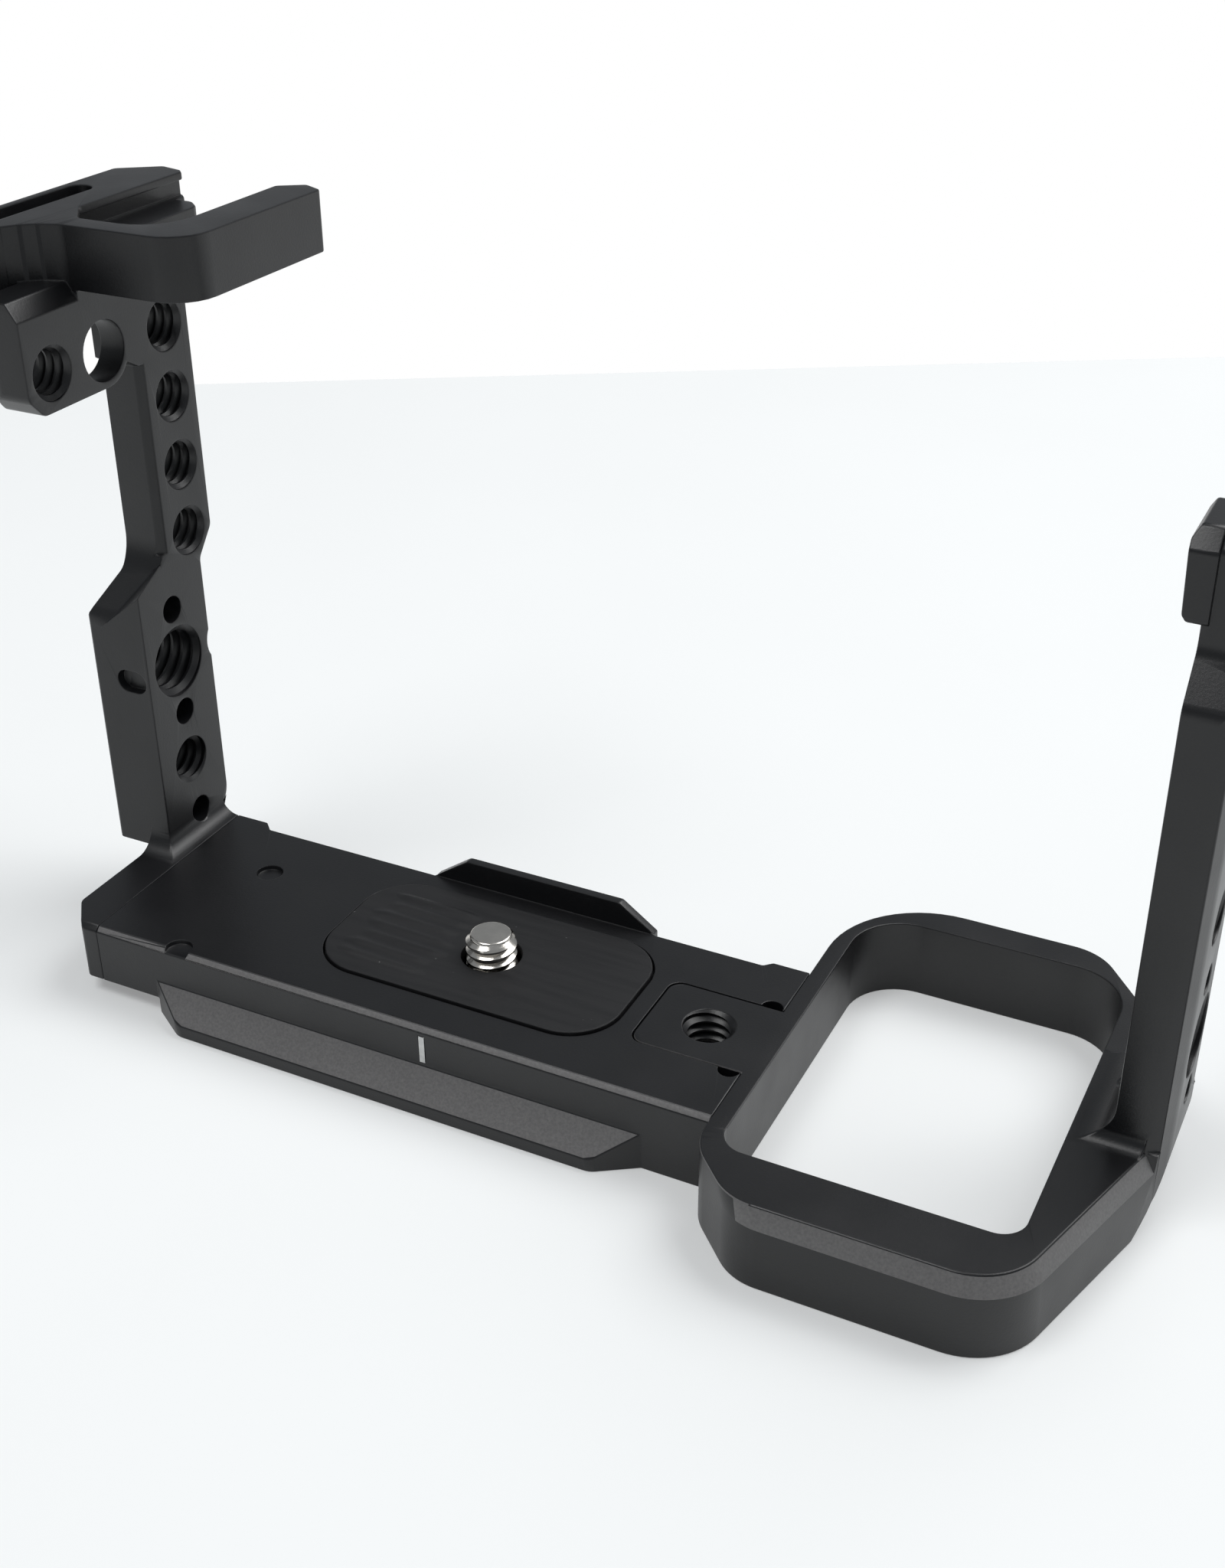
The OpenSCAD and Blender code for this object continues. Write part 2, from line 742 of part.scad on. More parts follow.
module shoe_plate() {
    bar_in = bar_out - strap_wall - strap_slot_w - 1;
    prong_out = prong_in - prong_t;
    outer = [
        [-bar_out, -bar_back], [-bar_in, -bar_back], [-bar_in, shoe_back - 5.5],
        [-bar_in + 1.4, shoe_back - 3.8], [-bar_in + 2.6, shoe_back - 2.1],
        [-bar_in + 4.2, shoe_back - 0.9], [-bar_in + 6.6, shoe_back],
        [-prong_out, shoe_back], [-prong_out + 0.4, shoe_front - 1.4],
        [-prong_out - 2.4, shoe_front], [-prong_in, shoe_front - 2.1],
        [-prong_in, shoe_closed], [-lip_x + 3.1, shoe_closed],
        [-lip_x, shoe_closed + 4], [-lip_x, shoe_front - 1.1],
        [-lip_x - 0.8, shoe_front - 0.3], [-lip_x - 3.9, shoe_front + 0.5],
        [-bar_out, shoe_front - 3.1]
    ];
    radii = [2, 2, 2, 2, 2, 2, 3, 5, 0.8, 0.8, 0.8, 6, 1.5, 1.5, 0.5, 0.5, 1, 1];
    along_z(rounded(outer, radii), shoe_bottom, shoe_top);
}

module shoe_floor() {
    floor_z = shoe_top - lip_t - groove_h;
    plan = [
        [-lip_x - groove_depth - over, shoe_closed - 0.5], [-side_in, shoe_closed - 0.5],
        [-side_in, shoe_front - 4.4], [-side_in - 2.0, shoe_front - 2.6],
        [-lip_x - groove_depth - over, shoe_front - 2.9]
    ];
    along_z(rounded(plan, [0, 0, 1.5, 1.5, 0]), shoe_bottom, floor_z);
}

module shoe_groove_cut() {
    floor_z = shoe_top - lip_t - groove_h;
    translate([-lip_x - groove_depth, shoe_closed + 3.4, floor_z])
        cube([groove_depth + over, shoe_front, groove_h]);
}

module strap_slot_cut() {
    r = strap_slot_w / 2;
    mid_x = -bar_out + strap_wall + r;
    corners = box_corners(
        [mid_x, (strap_front - bar_back + 3) / 2], strap_slot_w, strap_front + bar_back - 3);
    along_z(rounded(corners, same(r * 0.99, 4)), shoe_bottom - over, shoe_top + over);
}

module side_plate_bores() {
    in = -side_in + over;
    bore_x(lower_row_y, lower_quarter_z, quarter_r, -lower_out - over, in);
    bore_x(lower_row_y, lower_pattern_z, three_eighths_r, -lower_out - over, in);
    for (side = [-1, 1])
        bore_x(lower_row_y, lower_pattern_z + side * locating_pitch, locating_r, -lower_out - over, in);
    bore_x(foot_hole_y, foot_hole_z, locating_r, -lower_out - over, -plate_left + over);
    for (i = [0 : upper_row_count - 1])
        bore_x(upper_row_y, upper_row_z + i * row_pitch, quarter_r, -lower_out - over, in);
    bore_x(tab_thread_y, tab_hole_z, quarter_r, -upper_out - over, in);
    bore_x(tab_hole_y, tab_hole_z, tab_hole_r, -upper_out - over, in);
    // Recess behind the plain hole, outside
    along_x(rounded(box_corners([tab_hole_y, tab_hole_z], 2 * tab_hole_r + 2, 2 * tab_hole_r + 2.6),
                    same(2, 4)), -upper_out - over, -side_in - tab_hole_wall);
}

module side_fastener_bores() {
    for (y = side_screw_ys) {
        bore_x(y, side_screw_z, m3_clear_r, -foot_out - over, -plate_left + over);
        bore_x(y, side_screw_z, cap_r + 0.25, -foot_out - over, cap_seat_x);
    }
    for (y = side_pin_ys)
        bore_x(y, side_screw_z, pin_hole_r, -plate_left - side_pin_l / 2 - 0.2, -plate_left + over);
}

module side_edge_cuts() {
    // Slot in the back face
    slot_half = (back_slot_l - back_slot_h) / 2;
    for (x = [back_slot_x - slot_half, back_slot_x + slot_half])
        bore_y(x, back_slot_z, back_slot_h / 2, lower_back - over, lower_back + back_slot_depth);
    translate([back_slot_x - slot_half, lower_back - over, back_slot_z - back_slot_h / 2])
        cube([2 * slot_half, over + back_slot_depth, back_slot_h]);
    // Scallop in the front edge beside the large hole
    bore_x(lower_front + scallop_r - scallop_depth, lower_pattern_z - 0.2, scallop_r,
           -lower_out - over, -side_in + over);
    // Bevels on the outer back edge of the lower part and the inner back edge of the upper part
    along_z([
        [-lower_out - over, lower_back + 0.7 + over], [-lower_out - over, lower_back - over],
        [-lower_out + 0.7 + over, lower_back - over]
    ], 0, bend_z + 3);
    along_z([
        [-side_in + over, upper_back - over], [-side_in + over, upper_back + 0.85 + over],
        [-side_in - 0.85 - over, upper_back - over]
    ], bend_z + bend_rise + 0.4, tab_z + 0.95);
    plate_edge_bevel(-foot_out - over, -plate_left + over);
}

module side_plate() {
    color(anodised)
    difference() {
        union() {
            side_foot();
            side_coves();
            side_upright();
            inner_flank();
            side_tab();
            difference() {
                union() {
                    shoe_plate();
                    shoe_floor();
                }
                shoe_groove_cut();
            }
        }
        strap_slot_cut();
        side_plate_bores();
        side_fastener_bores();
        side_edge_cuts();
    }
}

// ---- Grip frame ----

// Outline of the ring; inset draws in only the back edge and the slanted right side
function ring_outline(inset) =
    let (
        back_y = -ring_back + inset,
        side_x = ring_right - inset / cos(ring_slant)
    )
    rounded([
        [plate_right, -ring_back + ring_cut],
        [plate_right + ring_cut - inset, back_y],
        [side_x - (shoulder_y - back_y) * ring_tan, back_y],
        [side_x, shoulder_y],
        [side_x, grip_front],
        [ring_front_right_x, ring_front],
        [plate_right, ring_front]
    ], [ring_cut_r, ring_cut_r, ring_corner_r - inset, ring_shoulder_r, 4, 7, ring_far_r], wide_steps);

// Solid through outlines that hold the same number of points, one at each height
module stacked(outlines, heights) {
    n = len(outlines[0]);
    last = len(heights) - 1;
    polyhedron(
        points = [for (k = [0 : last]) each [for (p = outlines[k]) [p[0], p[1], heights[k]]]],
        faces = concat(
            [[for (i = [0 : n - 1]) i], [for (i = [n - 1 : -1 : 0]) last * n + i]],
            [for (k = [0 : last - 1]) each [for (i = [0 : n - 1]) each [
                [k * n + i, (k + 1) * n + i, (k + 1) * n + (i + 1) % n],
                [k * n + i, (k + 1) * n + (i + 1) % n, k * n + (i + 1) % n]
            ]]]
        )
    );
}

module ring_body() {
    stacked([ring_outline(0), ring_outline(0), ring_outline(bevel_w)], [-frame_h, -bevel_h, 0]);
    // No bevel beside the upright
    intersection() {
        along_z(ring_outline(0), -2 * bevel_h, 0);
        translate([plate_right, grip_back, -2 * bevel_h])
            cube([ring_right, ring_front, 2 * bevel_h]);
    }
}

module tongue() {
    corners = [
        [tongue_x, tongue_back_y], [plate_right + over, tongue_back_y],
        [plate_right + over, tongue_front_y], [tongue_x, tongue_front_y]
    ];
    along_z(rounded(corners, [1.7, 0, 0, 1.7]), -tongue_t, 0);
}

module grip_upright() {
    plan = [
        [grip_in, grip_back], [corner_face_x, grip_back],
        [ring_right - (shoulder_y - corner_face_y) * ring_tan, corner_face_y],
        [ring_right, shoulder_y], [ring_right, grip_front], [grip_in, grip_front]
    ];
    step_y = grip_back + grip_step;
    side = [
        [grip_back, -frame_h], [grip_front, -frame_h], [grip_front, grip_top],
        [step_y + 1.8, grip_top], [step_y, grip_top - 2],
        [step_y, grip_bend_z + 1.24 * grip_step], [grip_back, grip_bend_z]
    ];
    intersection() {
        along_z(rounded(plan, [0, 0, 0, ring_shoulder_r, 2, 0.6], wide_steps), -frame_h, grip_top);
        along_x(rounded(side, [0, 0, 0, 0.8, 1, 2.5, 2.5]), grip_in, ring_right);
    }
}

module grip_lug() {
    lug_back = grip_back + grip_step - 0.5;
    lug_z = grip_top - lug_h;
    root_x = grip_in + 0.75;
    side = [
        [lug_back, lug_z], [grip_front - 3, lug_z], [grip_front - 3, grip_top],
        [lug_back + 1.9, grip_top], [lug_back, grip_top - 2.1]
    ];
    section = [
        [grip_in - lug_out + 0.5, lug_z], [root_x, lug_z], [root_x, grip_top],
        [grip_in - lug_out + 0.4, grip_top], [grip_in - lug_out - 0.3, grip_top - 1.2],
        [grip_in - lug_out, lug_z + 0.7]
    ];
    intersection() {
        along_x(rounded(side, [0.4, 0.4, 0.4, 0.8, 0.8]), grip_in - lug_out - over, root_x);
        along_y(section, lug_back - over, grip_front);
    }
}

module grip_coves() {
    intersection() {
        cove_x(grip_in, corner_face_x, grip_back, 0, grip_cove_r);
        along_z(ring_outline(bevel_w), 0, grip_cove_r);
    }
    cove_y(grip_back, grip_front, grip_in, 0, scoop_r, -1);
    intersection() {
        cove_x(open_right, grip_in, grip_back, 0, grip_cove_r);
        cove_y(grip_back - grip_cove_r, grip_back, grip_in, 0, scoop_r, -1);
    }
}

module grip_opening_cut() {
    corners = [
        [open_left, -open_back], [open_right, -open_back],
        [open_right, open_front], [open_left, open_front]
    ];
    along_z(rounded(corners, [open_back_r, open_back_r, open_front_r, open_front_r], wide_steps),
            -frame_h - over, over);
}

// The outer side curves in towards the underside
module under_curve_cut() {
    difference() {
        translate([ring_right - 4, -ring_back - over, -frame_h - over])
            cube([4 + over, ring_back + ring_front + 2 * over, frame_h + over + under_z]);
        bore_y(ring_right - under_r, under_z, under_r, -ring_back - 2 * over, ring_front + 2 * over);
    }
}

module grip_bores() {
    out = ring_right + over;
    bore_x(grip_row_y, grip_pattern_z, three_eighths_r, open_right, out);
    for (side = [-1, 1])
        bore_x(grip_row_y, grip_pattern_z + side * locating_pitch, locating_r, open_right - over, out);
    bore_x(grip_row_y, grip_quarter_z, quarter_r, open_right, out);
    bore_z(tongue_thread_x, tongue_mid_y, quarter_r, -tongue_t - over, over);
    for (y = tongue_screw_ys)
        bore_z(tongue_screw_x, y, m3_thread_r, -tongue_t - over, tongue_screw_end_z + 0.6);
    for (y = tongue_pin_ys)
        bore_z(tongue_pin_x, y, pin_hole_r, -tongue_t - over, -tongue_t + tongue_pin_l / 2 + 0.2);
}

module grip_frame() {
    color(anodised)
    difference() {
        union() {
            ring_body();
            tongue();
            grip_upright();
            grip_lug();
            grip_coves();
        }
        grip_opening_cut();
        under_curve_cut();
        grip_bores();
    }
}

// ---- Small pieces ----

module grip_pad() {
    color(rubber_black)
    difference() {
        along_z(rounded(box_corners([pad_mid_x, pad_mid_y], pad_l, pad_w), same(pad_r, 4), wide_steps),
                pad_floor_z, pad_proud);
        bore_z(screw_x, screw_y, pad_hole_r, pad_floor_z - over, pad_proud + over);
    }
}

module camera_screw() {
    profile = [
        [0, head_bottom_z], [head_r - 0.4, head_bottom_z], [head_r, head_bottom_z + 0.4],
        [head_r, head_top_z - 0.3], [head_r - 0.3, head_top_z], [screw_r, head_top_z],
        [screw_r, clip_bottom_z - seat_gap], [groove_r, clip_bottom_z - seat_gap],
        [groove_r, clip_top_z + seat_gap], [screw_r, clip_top_z + seat_gap],
        [screw_r, screw_h - tip_bevel], [tip_r, screw_h], [0, screw_h]
    ];
    color(steel)
    translate([screw_x, screw_y, -screw_drop])
    difference() {
        rotate_extrude()
            polygon(profile);
        translate([-slot_w / 2, -head_r - over, head_bottom_z - over])
            cube([slot_w, 2 * head_r + 2 * over, slot_depth + over]);
    }
}

module screw_clip() {
    mouth = groove_r * 0.8;
    color(dark_steel)
    translate([screw_x, screw_y, -screw_drop])
    difference() {
        bore_z(0, 0, clip_r, clip_bottom_z, clip_top_z);
        bore_z(0, 0, groove_r + 0.05, clip_bottom_z - over, clip_top_z + over);
        translate([0, -mouth, clip_bottom_z - over])
            cube([clip_r + over, 2 * mouth, clip_t + 2 * over]);
    }
}

module side_screw(y) {
    difference() {
        union() {
            bore_x(y, side_screw_z, cap_r, cap_seat_x - cap_h, cap_seat_x);
            bore_x(y, side_screw_z, m3_r, cap_seat_x - 0.5, cap_seat_x + side_screw_l);
        }
        translate([cap_seat_x - cap_h - over, y, side_screw_z])
            rotate([0, 90, 0])
                cylinder(r = socket_r, h = socket_depth + over, $fn = 6);
    }
}

module side_screws() {
    color(dark_steel)
    for (y = side_screw_ys)
        side_screw(y);
}

module side_pins() {
    color(steel)
    for (y = side_pin_ys)
        bore_x(y, side_screw_z, pin_r, -plate_left - side_pin_l / 2, -plate_left + side_pin_l / 2);
}

module tongue_screw(y) {
    base_z = -frame_h + 0.1;
    difference() {
        union() {
            translate([tongue_screw_x, y, base_z])
                cylinder(r1 = csk_r, r2 = m3_r, h = csk_h);
            bore_z(tongue_screw_x, y, m3_r, base_z + 0.5, tongue_screw_end_z);
        }
        translate([tongue_screw_x, y, base_z - over])
            cylinder(r = socket_r * 0.8, h = 1.1 + over, $fn = 6);
    }
}

module tongue_screws() {
    color(dark_steel)
    for (y = tongue_screw_ys)
        tongue_screw(y);
}

module tongue_pins() {
    color(steel)
    for (y = tongue_pin_ys)
        bore_z(tongue_pin_x, y, pin_r, -tongue_t - tongue_pin_l / 2, -tongue_t + tongue_pin_l / 2);
}

module flat_key() {
    back = key_mid_y - key_l / 2;
    front = key_mid_y + key_l / 2;
    outline = [
        [key_x - blade_w / 2, back], [key_x + blade_w / 2, back],
        [key_x + blade_w / 2, back + blade_l], [key_x + key_w / 2, back + blade_l + blade_run],
        [key_x + key_w / 2, front], [key_x - key_w / 2, front],
        [key_x - key_w / 2, back + blade_l + blade_run], [key_x - blade_w / 2, back + blade_l]
    ];
    color(steel)
    difference() {
        along_z(rounded(outline, [0.4, 0.4, 0.6, 0.6, 1.5, 1.5, 0.6, 0.6]),
                key_top_z - key_t, key_top_z);
        bore_z(key_x, front - key_hole_in, key_hole_r, key_top_z - key_t - over, key_top_z + over);
    }
}

module key_magnets() {
    color(steel)
    for (y = magnet_ys)
        bore_z(key_x, y, magnet_r, key_roof_z, key_roof_z + magnet_h);
}

// Sets a piece down with the camera screw's axis on the origin
module on_screw_axis() {
    translate([-screw_x, -screw_y, 0])
        children();
}

on_screw_axis() base_plate();
on_screw_axis() side_plate();
on_screw_axis() grip_frame();
on_screw_axis() grip_pad();
on_screw_axis() camera_screw();
on_screw_axis() screw_clip();
on_screw_axis() side_screws();
on_screw_axis() side_pins();
on_screw_axis() tongue_screws();
on_screw_axis() tongue_pins();
on_screw_axis() flat_key();
on_screw_axis() key_magnets();
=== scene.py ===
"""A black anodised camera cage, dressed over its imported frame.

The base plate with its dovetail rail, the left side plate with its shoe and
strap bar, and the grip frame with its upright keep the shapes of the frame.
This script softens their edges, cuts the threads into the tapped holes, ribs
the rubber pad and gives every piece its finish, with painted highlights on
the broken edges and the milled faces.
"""

import logging
import math
from dataclasses import dataclass, field
from enum import Enum

import bpy
from mathutils import Matrix, Vector
from mathutils.bvhtree import BVHTree


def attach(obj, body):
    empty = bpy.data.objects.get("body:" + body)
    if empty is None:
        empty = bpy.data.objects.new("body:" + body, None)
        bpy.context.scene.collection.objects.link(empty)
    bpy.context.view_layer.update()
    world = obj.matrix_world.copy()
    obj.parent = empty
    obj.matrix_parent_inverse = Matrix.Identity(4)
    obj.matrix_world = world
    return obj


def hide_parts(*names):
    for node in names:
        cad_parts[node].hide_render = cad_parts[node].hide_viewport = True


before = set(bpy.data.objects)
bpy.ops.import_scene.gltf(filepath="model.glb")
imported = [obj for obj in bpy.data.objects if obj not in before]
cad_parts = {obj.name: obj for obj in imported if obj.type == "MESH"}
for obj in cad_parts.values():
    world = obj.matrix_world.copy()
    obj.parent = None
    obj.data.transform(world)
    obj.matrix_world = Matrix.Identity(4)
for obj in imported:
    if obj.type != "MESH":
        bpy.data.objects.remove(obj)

MM = 0.001
CAGE = "cage"
LOG = logging.getLogger("camera_cage")

EDGE_SLOT = 1  # material index of the broken edges, which on the plates and the frame carry a painted highlight
MILLED_HIGHLIGHT_SLOT = 2  # material index of the milled faces, whose lighter tone is partly a painted highlight
FRAME_WELD = 0.000004  # metres
THREAD_WELD = 0.000002  # metres
ROUND_SHADING = 40.0  # degrees


class Facing(Enum):
    """The way that a hole or a thread runs."""

    ALONG_X = "x"
    ALONG_Z = "z"


class Slot(Enum):
    """Material slots of the record."""

    ANODISED = "anodised"
    PAD = "pad_rubber"
    STAINLESS = "stainless"
    BLACK_STEEL = "black_steel"


# ---------------------------------------------------------------- node helpers


def link(material: bpy.types.Material, start: bpy.types.NodeSocket, end: bpy.types.NodeSocket) -> None:
    """Joins two sockets of a material's node tree."""
    material.node_tree.links.new(start, end)


def fresh_material(name: str) -> tuple[bpy.types.Material, bpy.types.Node]:
    """Makes a node material that holds only its shader and its output.

    Args:
        name: The material's name.

    Returns:
        The material and its Principled shader.
    """
    material = bpy.data.materials.new(name)
    material.use_nodes = True
    shader = material.node_tree.nodes["Principled BSDF"]
    return material, shader


def object_noise(
    material: bpy.types.Material,
    scale: float,
    detail: float = 2.0,
    stretch: tuple[float, float, float] = (1.0, 1.0, 1.0),
) -> bpy.types.NodeSocket:
    """Adds noise that is fixed to the object's own coordinates.

    Args:
        material: The material to add it to.
        scale: Cells per metre.
        detail: Octaves of the noise.
        stretch: How much finer it runs along each axis.

    Returns:
        The noise's factor socket.
    """
    nodes = material.node_tree.nodes
    place = nodes.new("ShaderNodeTexCoord")
    mapping = nodes.new("ShaderNodeMapping")
    mapping.inputs["Scale"].default_value = stretch
    noise = nodes.new("ShaderNodeTexNoise")
    noise.inputs["Scale"].default_value = scale
    noise.inputs["Detail"].default_value = detail
    link(material, place.outputs["Object"], mapping.inputs["Vector"])
    link(material, mapping.outputs["Vector"], noise.inputs["Vector"])
    return noise.outputs["Fac"]


def ranged(
    material: bpy.types.Material,
    value: bpy.types.NodeSocket,
    source: tuple[float, float],
    target: tuple[float, float],
) -> bpy.types.NodeSocket:
    """Maps a value from one range to another.

    Args:
        material: The material that holds the value.
        value: The socket to map.
        source: The range that it comes from.
        target: The range that it goes to.

    Returns:
        The mapped value's socket.
    """
    node = material.node_tree.nodes.new("ShaderNodeMapRange")
    for socket, number in zip(("From Min", "From Max"), source):
        node.inputs[socket].default_value = number
    for socket, number in zip(("To Min", "To Max"), target):
        node.inputs[socket].default_value = number
    link(material, value, node.inputs["Value"])
    return node.outputs["Result"]


def between(
    material: bpy.types.Material,
    value: bpy.types.NodeSocket,
    dark: tuple[float, float, float],
    light: tuple[float, float, float],
) -> bpy.types.NodeSocket:
    """Blends two colours by a value.

    Args:
        material: The material that holds the value.
        value: The socket that blends them.
        dark: Colour at 0.
        light: Colour at 1.

    Returns:
        The colour's socket.
    """
    ramp = material.node_tree.nodes.new("ShaderNodeValToRGB")
    ramp.color_ramp.elements[0].color = (*dark, 1.0)
    ramp.color_ramp.elements[1].color = (*light, 1.0)
    link(material, value, ramp.inputs["Fac"])
    return ramp.outputs["Color"]


def roughen(
    material: bpy.types.Material,
    shader: bpy.types.Node,
    height: bpy.types.NodeSocket,
    strength: float,
    depth: float,
) -> None:
    """Gives a shader a fine relief.

    Args:
        material: The material.
        shader: Its shader.
        height: The relief's height, 0 to 1.
        strength: How strongly it shows.
        depth: Its real depth in metres.
    """
    bump = material.node_tree.nodes.new("ShaderNodeBump")
    bump.inputs["Strength"].default_value = strength
    bump.inputs["Distance"].default_value = depth
    link(material, height, bump.inputs["Height"])
    link(material, bump.outputs["Normal"], shader.inputs["Normal"])


# ---------------------------------------------------------------- finishes

NOISE_SPAN = (0.3, 0.7)  # where most of a noise's values lie


@dataclass(frozen=True)
class BlastedFinish:
    """Blasted and anodised aluminium, with the grain of the blasting."""

    name: str
    dark: tuple[float, float, float]
    light: tuple[float, float, float]
    rough: tuple[float, float]
    grain: float = 3600.0
    relief: float = 0.35
    specular: float = 0.35
    grain_depth: float = 0.00003
    cloud_size: float = 90.0

    def build(self) -> bpy.types.Material:
        """Makes the finish as a material.

        Returns:
            The material.
        """
        material, shader = fresh_material(self.name)
        shader.inputs["Specular IOR Level"].default_value = self.specular
        broad = object_noise(material, self.cloud_size, 3.0)
        fine = object_noise(material, self.grain, 2.0)
        tone = between(material, fine, self.dark, self.light)
        link(material, tone, shader.inputs["Base Color"])
        link(material, ranged(material, broad, NOISE_SPAN, self.rough), shader.inputs["Roughness"])
        roughen(material, shader, fine, self.relief, self.grain_depth)
        return material


@dataclass(frozen=True)
class PadFinish:
    """Moulded black rubber with faint streaks and a little dust."""

    name: str = "pad_moulded_rubber"
    dark: tuple[float, float, float] = (0.0045, 0.0045, 0.0052)
    light: tuple[float, float, float] = (0.0085, 0.0085, 0.0095)
    dust: tuple[float, float, float] = (0.16, 0.16, 0.155)
    dust_cut: tuple[float, float] = (0.80, 0.84)
    dust_cover: float = 0.6
    rough: tuple[float, float] = (0.46, 0.62)
    specular: float = 0.4
    streak_size: float = 260.0
    streak_stretch: tuple[float, float, float] = (0.25, 3.0, 1.0)
    speck_size: float = 1500.0

    def build(self) -> bpy.types.Material:
        """Makes the finish as a material.

        Returns:
            The material.
        """
        material, shader = fresh_material(self.name)
        shader.inputs["Specular IOR Level"].default_value = self.specular
        streaks = object_noise(material, self.streak_size, 3.0, self.streak_stretch)
        specks = object_noise(material, self.speck_size, 1.0)
        nodes = material.node_tree.nodes
        mix = nodes.new("ShaderNodeMix")
        mix.data_type = "RGBA"
        mix.inputs["B"].default_value = (*self.dust, 1.0)
        cover = ranged(material, specks, self.dust_cut, (0.0, self.dust_cover))
        link(material, cover, mix.inputs["Factor"])
        link(material, between(material, streaks, self.dark, self.light), mix.inputs["A"])
        link(material, mix.outputs["Result"], shader.inputs["Base Color"])
        link(material, ranged(material, streaks, NOISE_SPAN, self.rough), shader.inputs["Roughness"])
        roughen(material, shader, streaks, 0.25, 0.00004)
        return material


@dataclass(frozen=True)
class TurnedFinish:
    """Steel from the lathe, with rings round the piece's own axis."""

    name: str
    tone: tuple[float, float, float]
    warm: tuple[float, float, float]
    rough: tuple[float, float]
    rings: float = 2600.0
    ring_waver: float = 1.5
    cloud_size: float = 700.0

    def build(self) -> bpy.types.Material:
        """Makes the finish as a material.

        Returns:
            The material.
        """
        material, shader = fresh_material(self.name)
        shader.inputs["Metallic"].default_value = 1.0
        cloud = object_noise(material, self.cloud_size, 3.0)
        nodes = material.node_tree.nodes
        place = nodes.new("ShaderNodeTexCoord")
        wave = nodes.new("ShaderNodeTexWave")
        wave.wave_type = "RINGS"
        wave.rings_direction = "Z"
        wave.inputs["Scale"].default_value = self.rings
        wave.inputs["Distortion"].default_value = self.ring_waver
        link(material, place.outputs["Object"], wave.inputs["Vector"])
        link(material, between(material, cloud, self.tone, self.warm), shader.inputs["Base Color"])
        link(material, ranged(material, cloud, NOISE_SPAN, self.rough), shader.inputs["Roughness"])
        roughen(material, shader, wave.outputs["Fac"], 0.12, 0.00001)
        return material


@dataclass(frozen=True)
class PaintFinish:
    """White paint in an engraved line, a little uneven."""

    name: str = "mark_white_paint"
    thin: tuple[float, float, float] = (0.50, 0.50, 0.49)
    thick: tuple[float, float, float] = (0.80, 0.80, 0.78)
    rough: tuple[float, float] = (0.5, 0.7)
    cloud_size: float = 1800.0

    def build(self) -> bpy.types.Material:
        """Makes the finish as a material.

        Returns:
            The material.
        """
        material, shader = fresh_material(self.name)
        cloud = object_noise(material, self.cloud_size, 3.0)
        tone = between(material, cloud, self.thin, self.thick)
        link(material, tone, shader.inputs["Base Color"])
        link(material, ranged(material, cloud, NOISE_SPAN, self.rough), shader.inputs["Roughness"])
        roughen(material, shader, cloud, 0.3, 0.00003)
        return material


@dataclass
class Finishes:
    """Every finish on the cage, made once."""

    anodised: bpy.types.Material = field(init=False)
    # The milled faces and the broken edges get lighter tones that are painted highlights.
    milled_with_highlight: bpy.types.Material = field(init=False)
    edge: bpy.types.Material = field(init=False)
    pad: bpy.types.Material = field(init=False)
    stainless: bpy.types.Material = field(init=False)
    black_steel: bpy.types.Material = field(init=False)
    paint: bpy.types.Material = field(init=False)

    def __post_init__(self) -> None:
        """Builds the materials."""
        self.anodised = BlastedFinish(
            name="anodised_black",
            dark=(0.0026, 0.0027, 0.0034),
            light=(0.0050, 0.0052, 0.0062),
            rough=(0.33, 0.41),
            specular=0.5,
        ).build()
        # Milled faces: a real milled grain, with a lighter tone that is a painted highlight.
        self.milled_with_highlight = BlastedFinish(
            name="anodised_milled_face_painted_highlight",
            dark=(0.090, 0.088, 0.088),
            light=(0.175, 0.170, 0.168),
            rough=(0.36, 0.46),
            grain=3200.0,
            relief=0.6,
        ).build()
        # Broken edges: a lighter tone that is a painted highlight along them.
        self.edge = BlastedFinish(
            name="anodised_edge_painted_highlight",
            dark=(0.075, 0.075, 0.077),
            light=(0.115, 0.115, 0.117),
            rough=(0.24, 0.34),
            grain=5200.0,
            relief=0.2,
            specular=0.6,
        ).build()
        self.pad = PadFinish().build()
        self.stainless = TurnedFinish(
            name="stainless_turned",
            tone=(0.60, 0.57, 0.53),
            warm=(0.70, 0.67, 0.62),
            rough=(0.14, 0.24),
        ).build()
        self.black_steel = TurnedFinish(
            name="steel_black_oxide",
            tone=(0.045, 0.045, 0.047),
            warm=(0.07, 0.068, 0.066),
            rough=(0.30, 0.42),
        ).build()
        self.paint = PaintFinish().build()


# ---------------------------------------------------------------- mesh helpers


def select_only(piece: bpy.types.Object) -> None:
    """Deselects everything and makes one object active and selected."""
    if bpy.context.mode != "OBJECT":
        bpy.ops.object.mode_set(mode="OBJECT")
    bpy.ops.object.select_all(action="DESELECT")
    piece.select_set(True)
    bpy.context.view_layer.objects.active = piece


def edit_all(piece: bpy.types.Object) -> None:
    """Opens a piece in edit mode with all of its mesh selected."""
    select_only(piece)
    bpy.ops.object.mode_set(mode="EDIT")
    bpy.ops.mesh.select_all(action="SELECT")


def leave_edit() -> None:
    """Goes back to object mode."""
    bpy.ops.object.mode_set(mode="OBJECT")


def smooth(piece: bpy.types.Object, degrees: float = 28.0) -> None:
    """Shades a piece smooth up to an angle.

    Args:
        piece: The piece.
        degrees: The sharpest angle that is still smooth.
    """
    select_only(piece)
    bpy.ops.object.shade_smooth_by_angle(angle=math.radians(degrees))


def dress(piece: bpy.types.Object, *materials: bpy.types.Material) -> None:
    """Gives a piece its materials, in slot order."""
    piece.data.materials.clear()
    for material in materials:
        piece.data.materials.append(material)


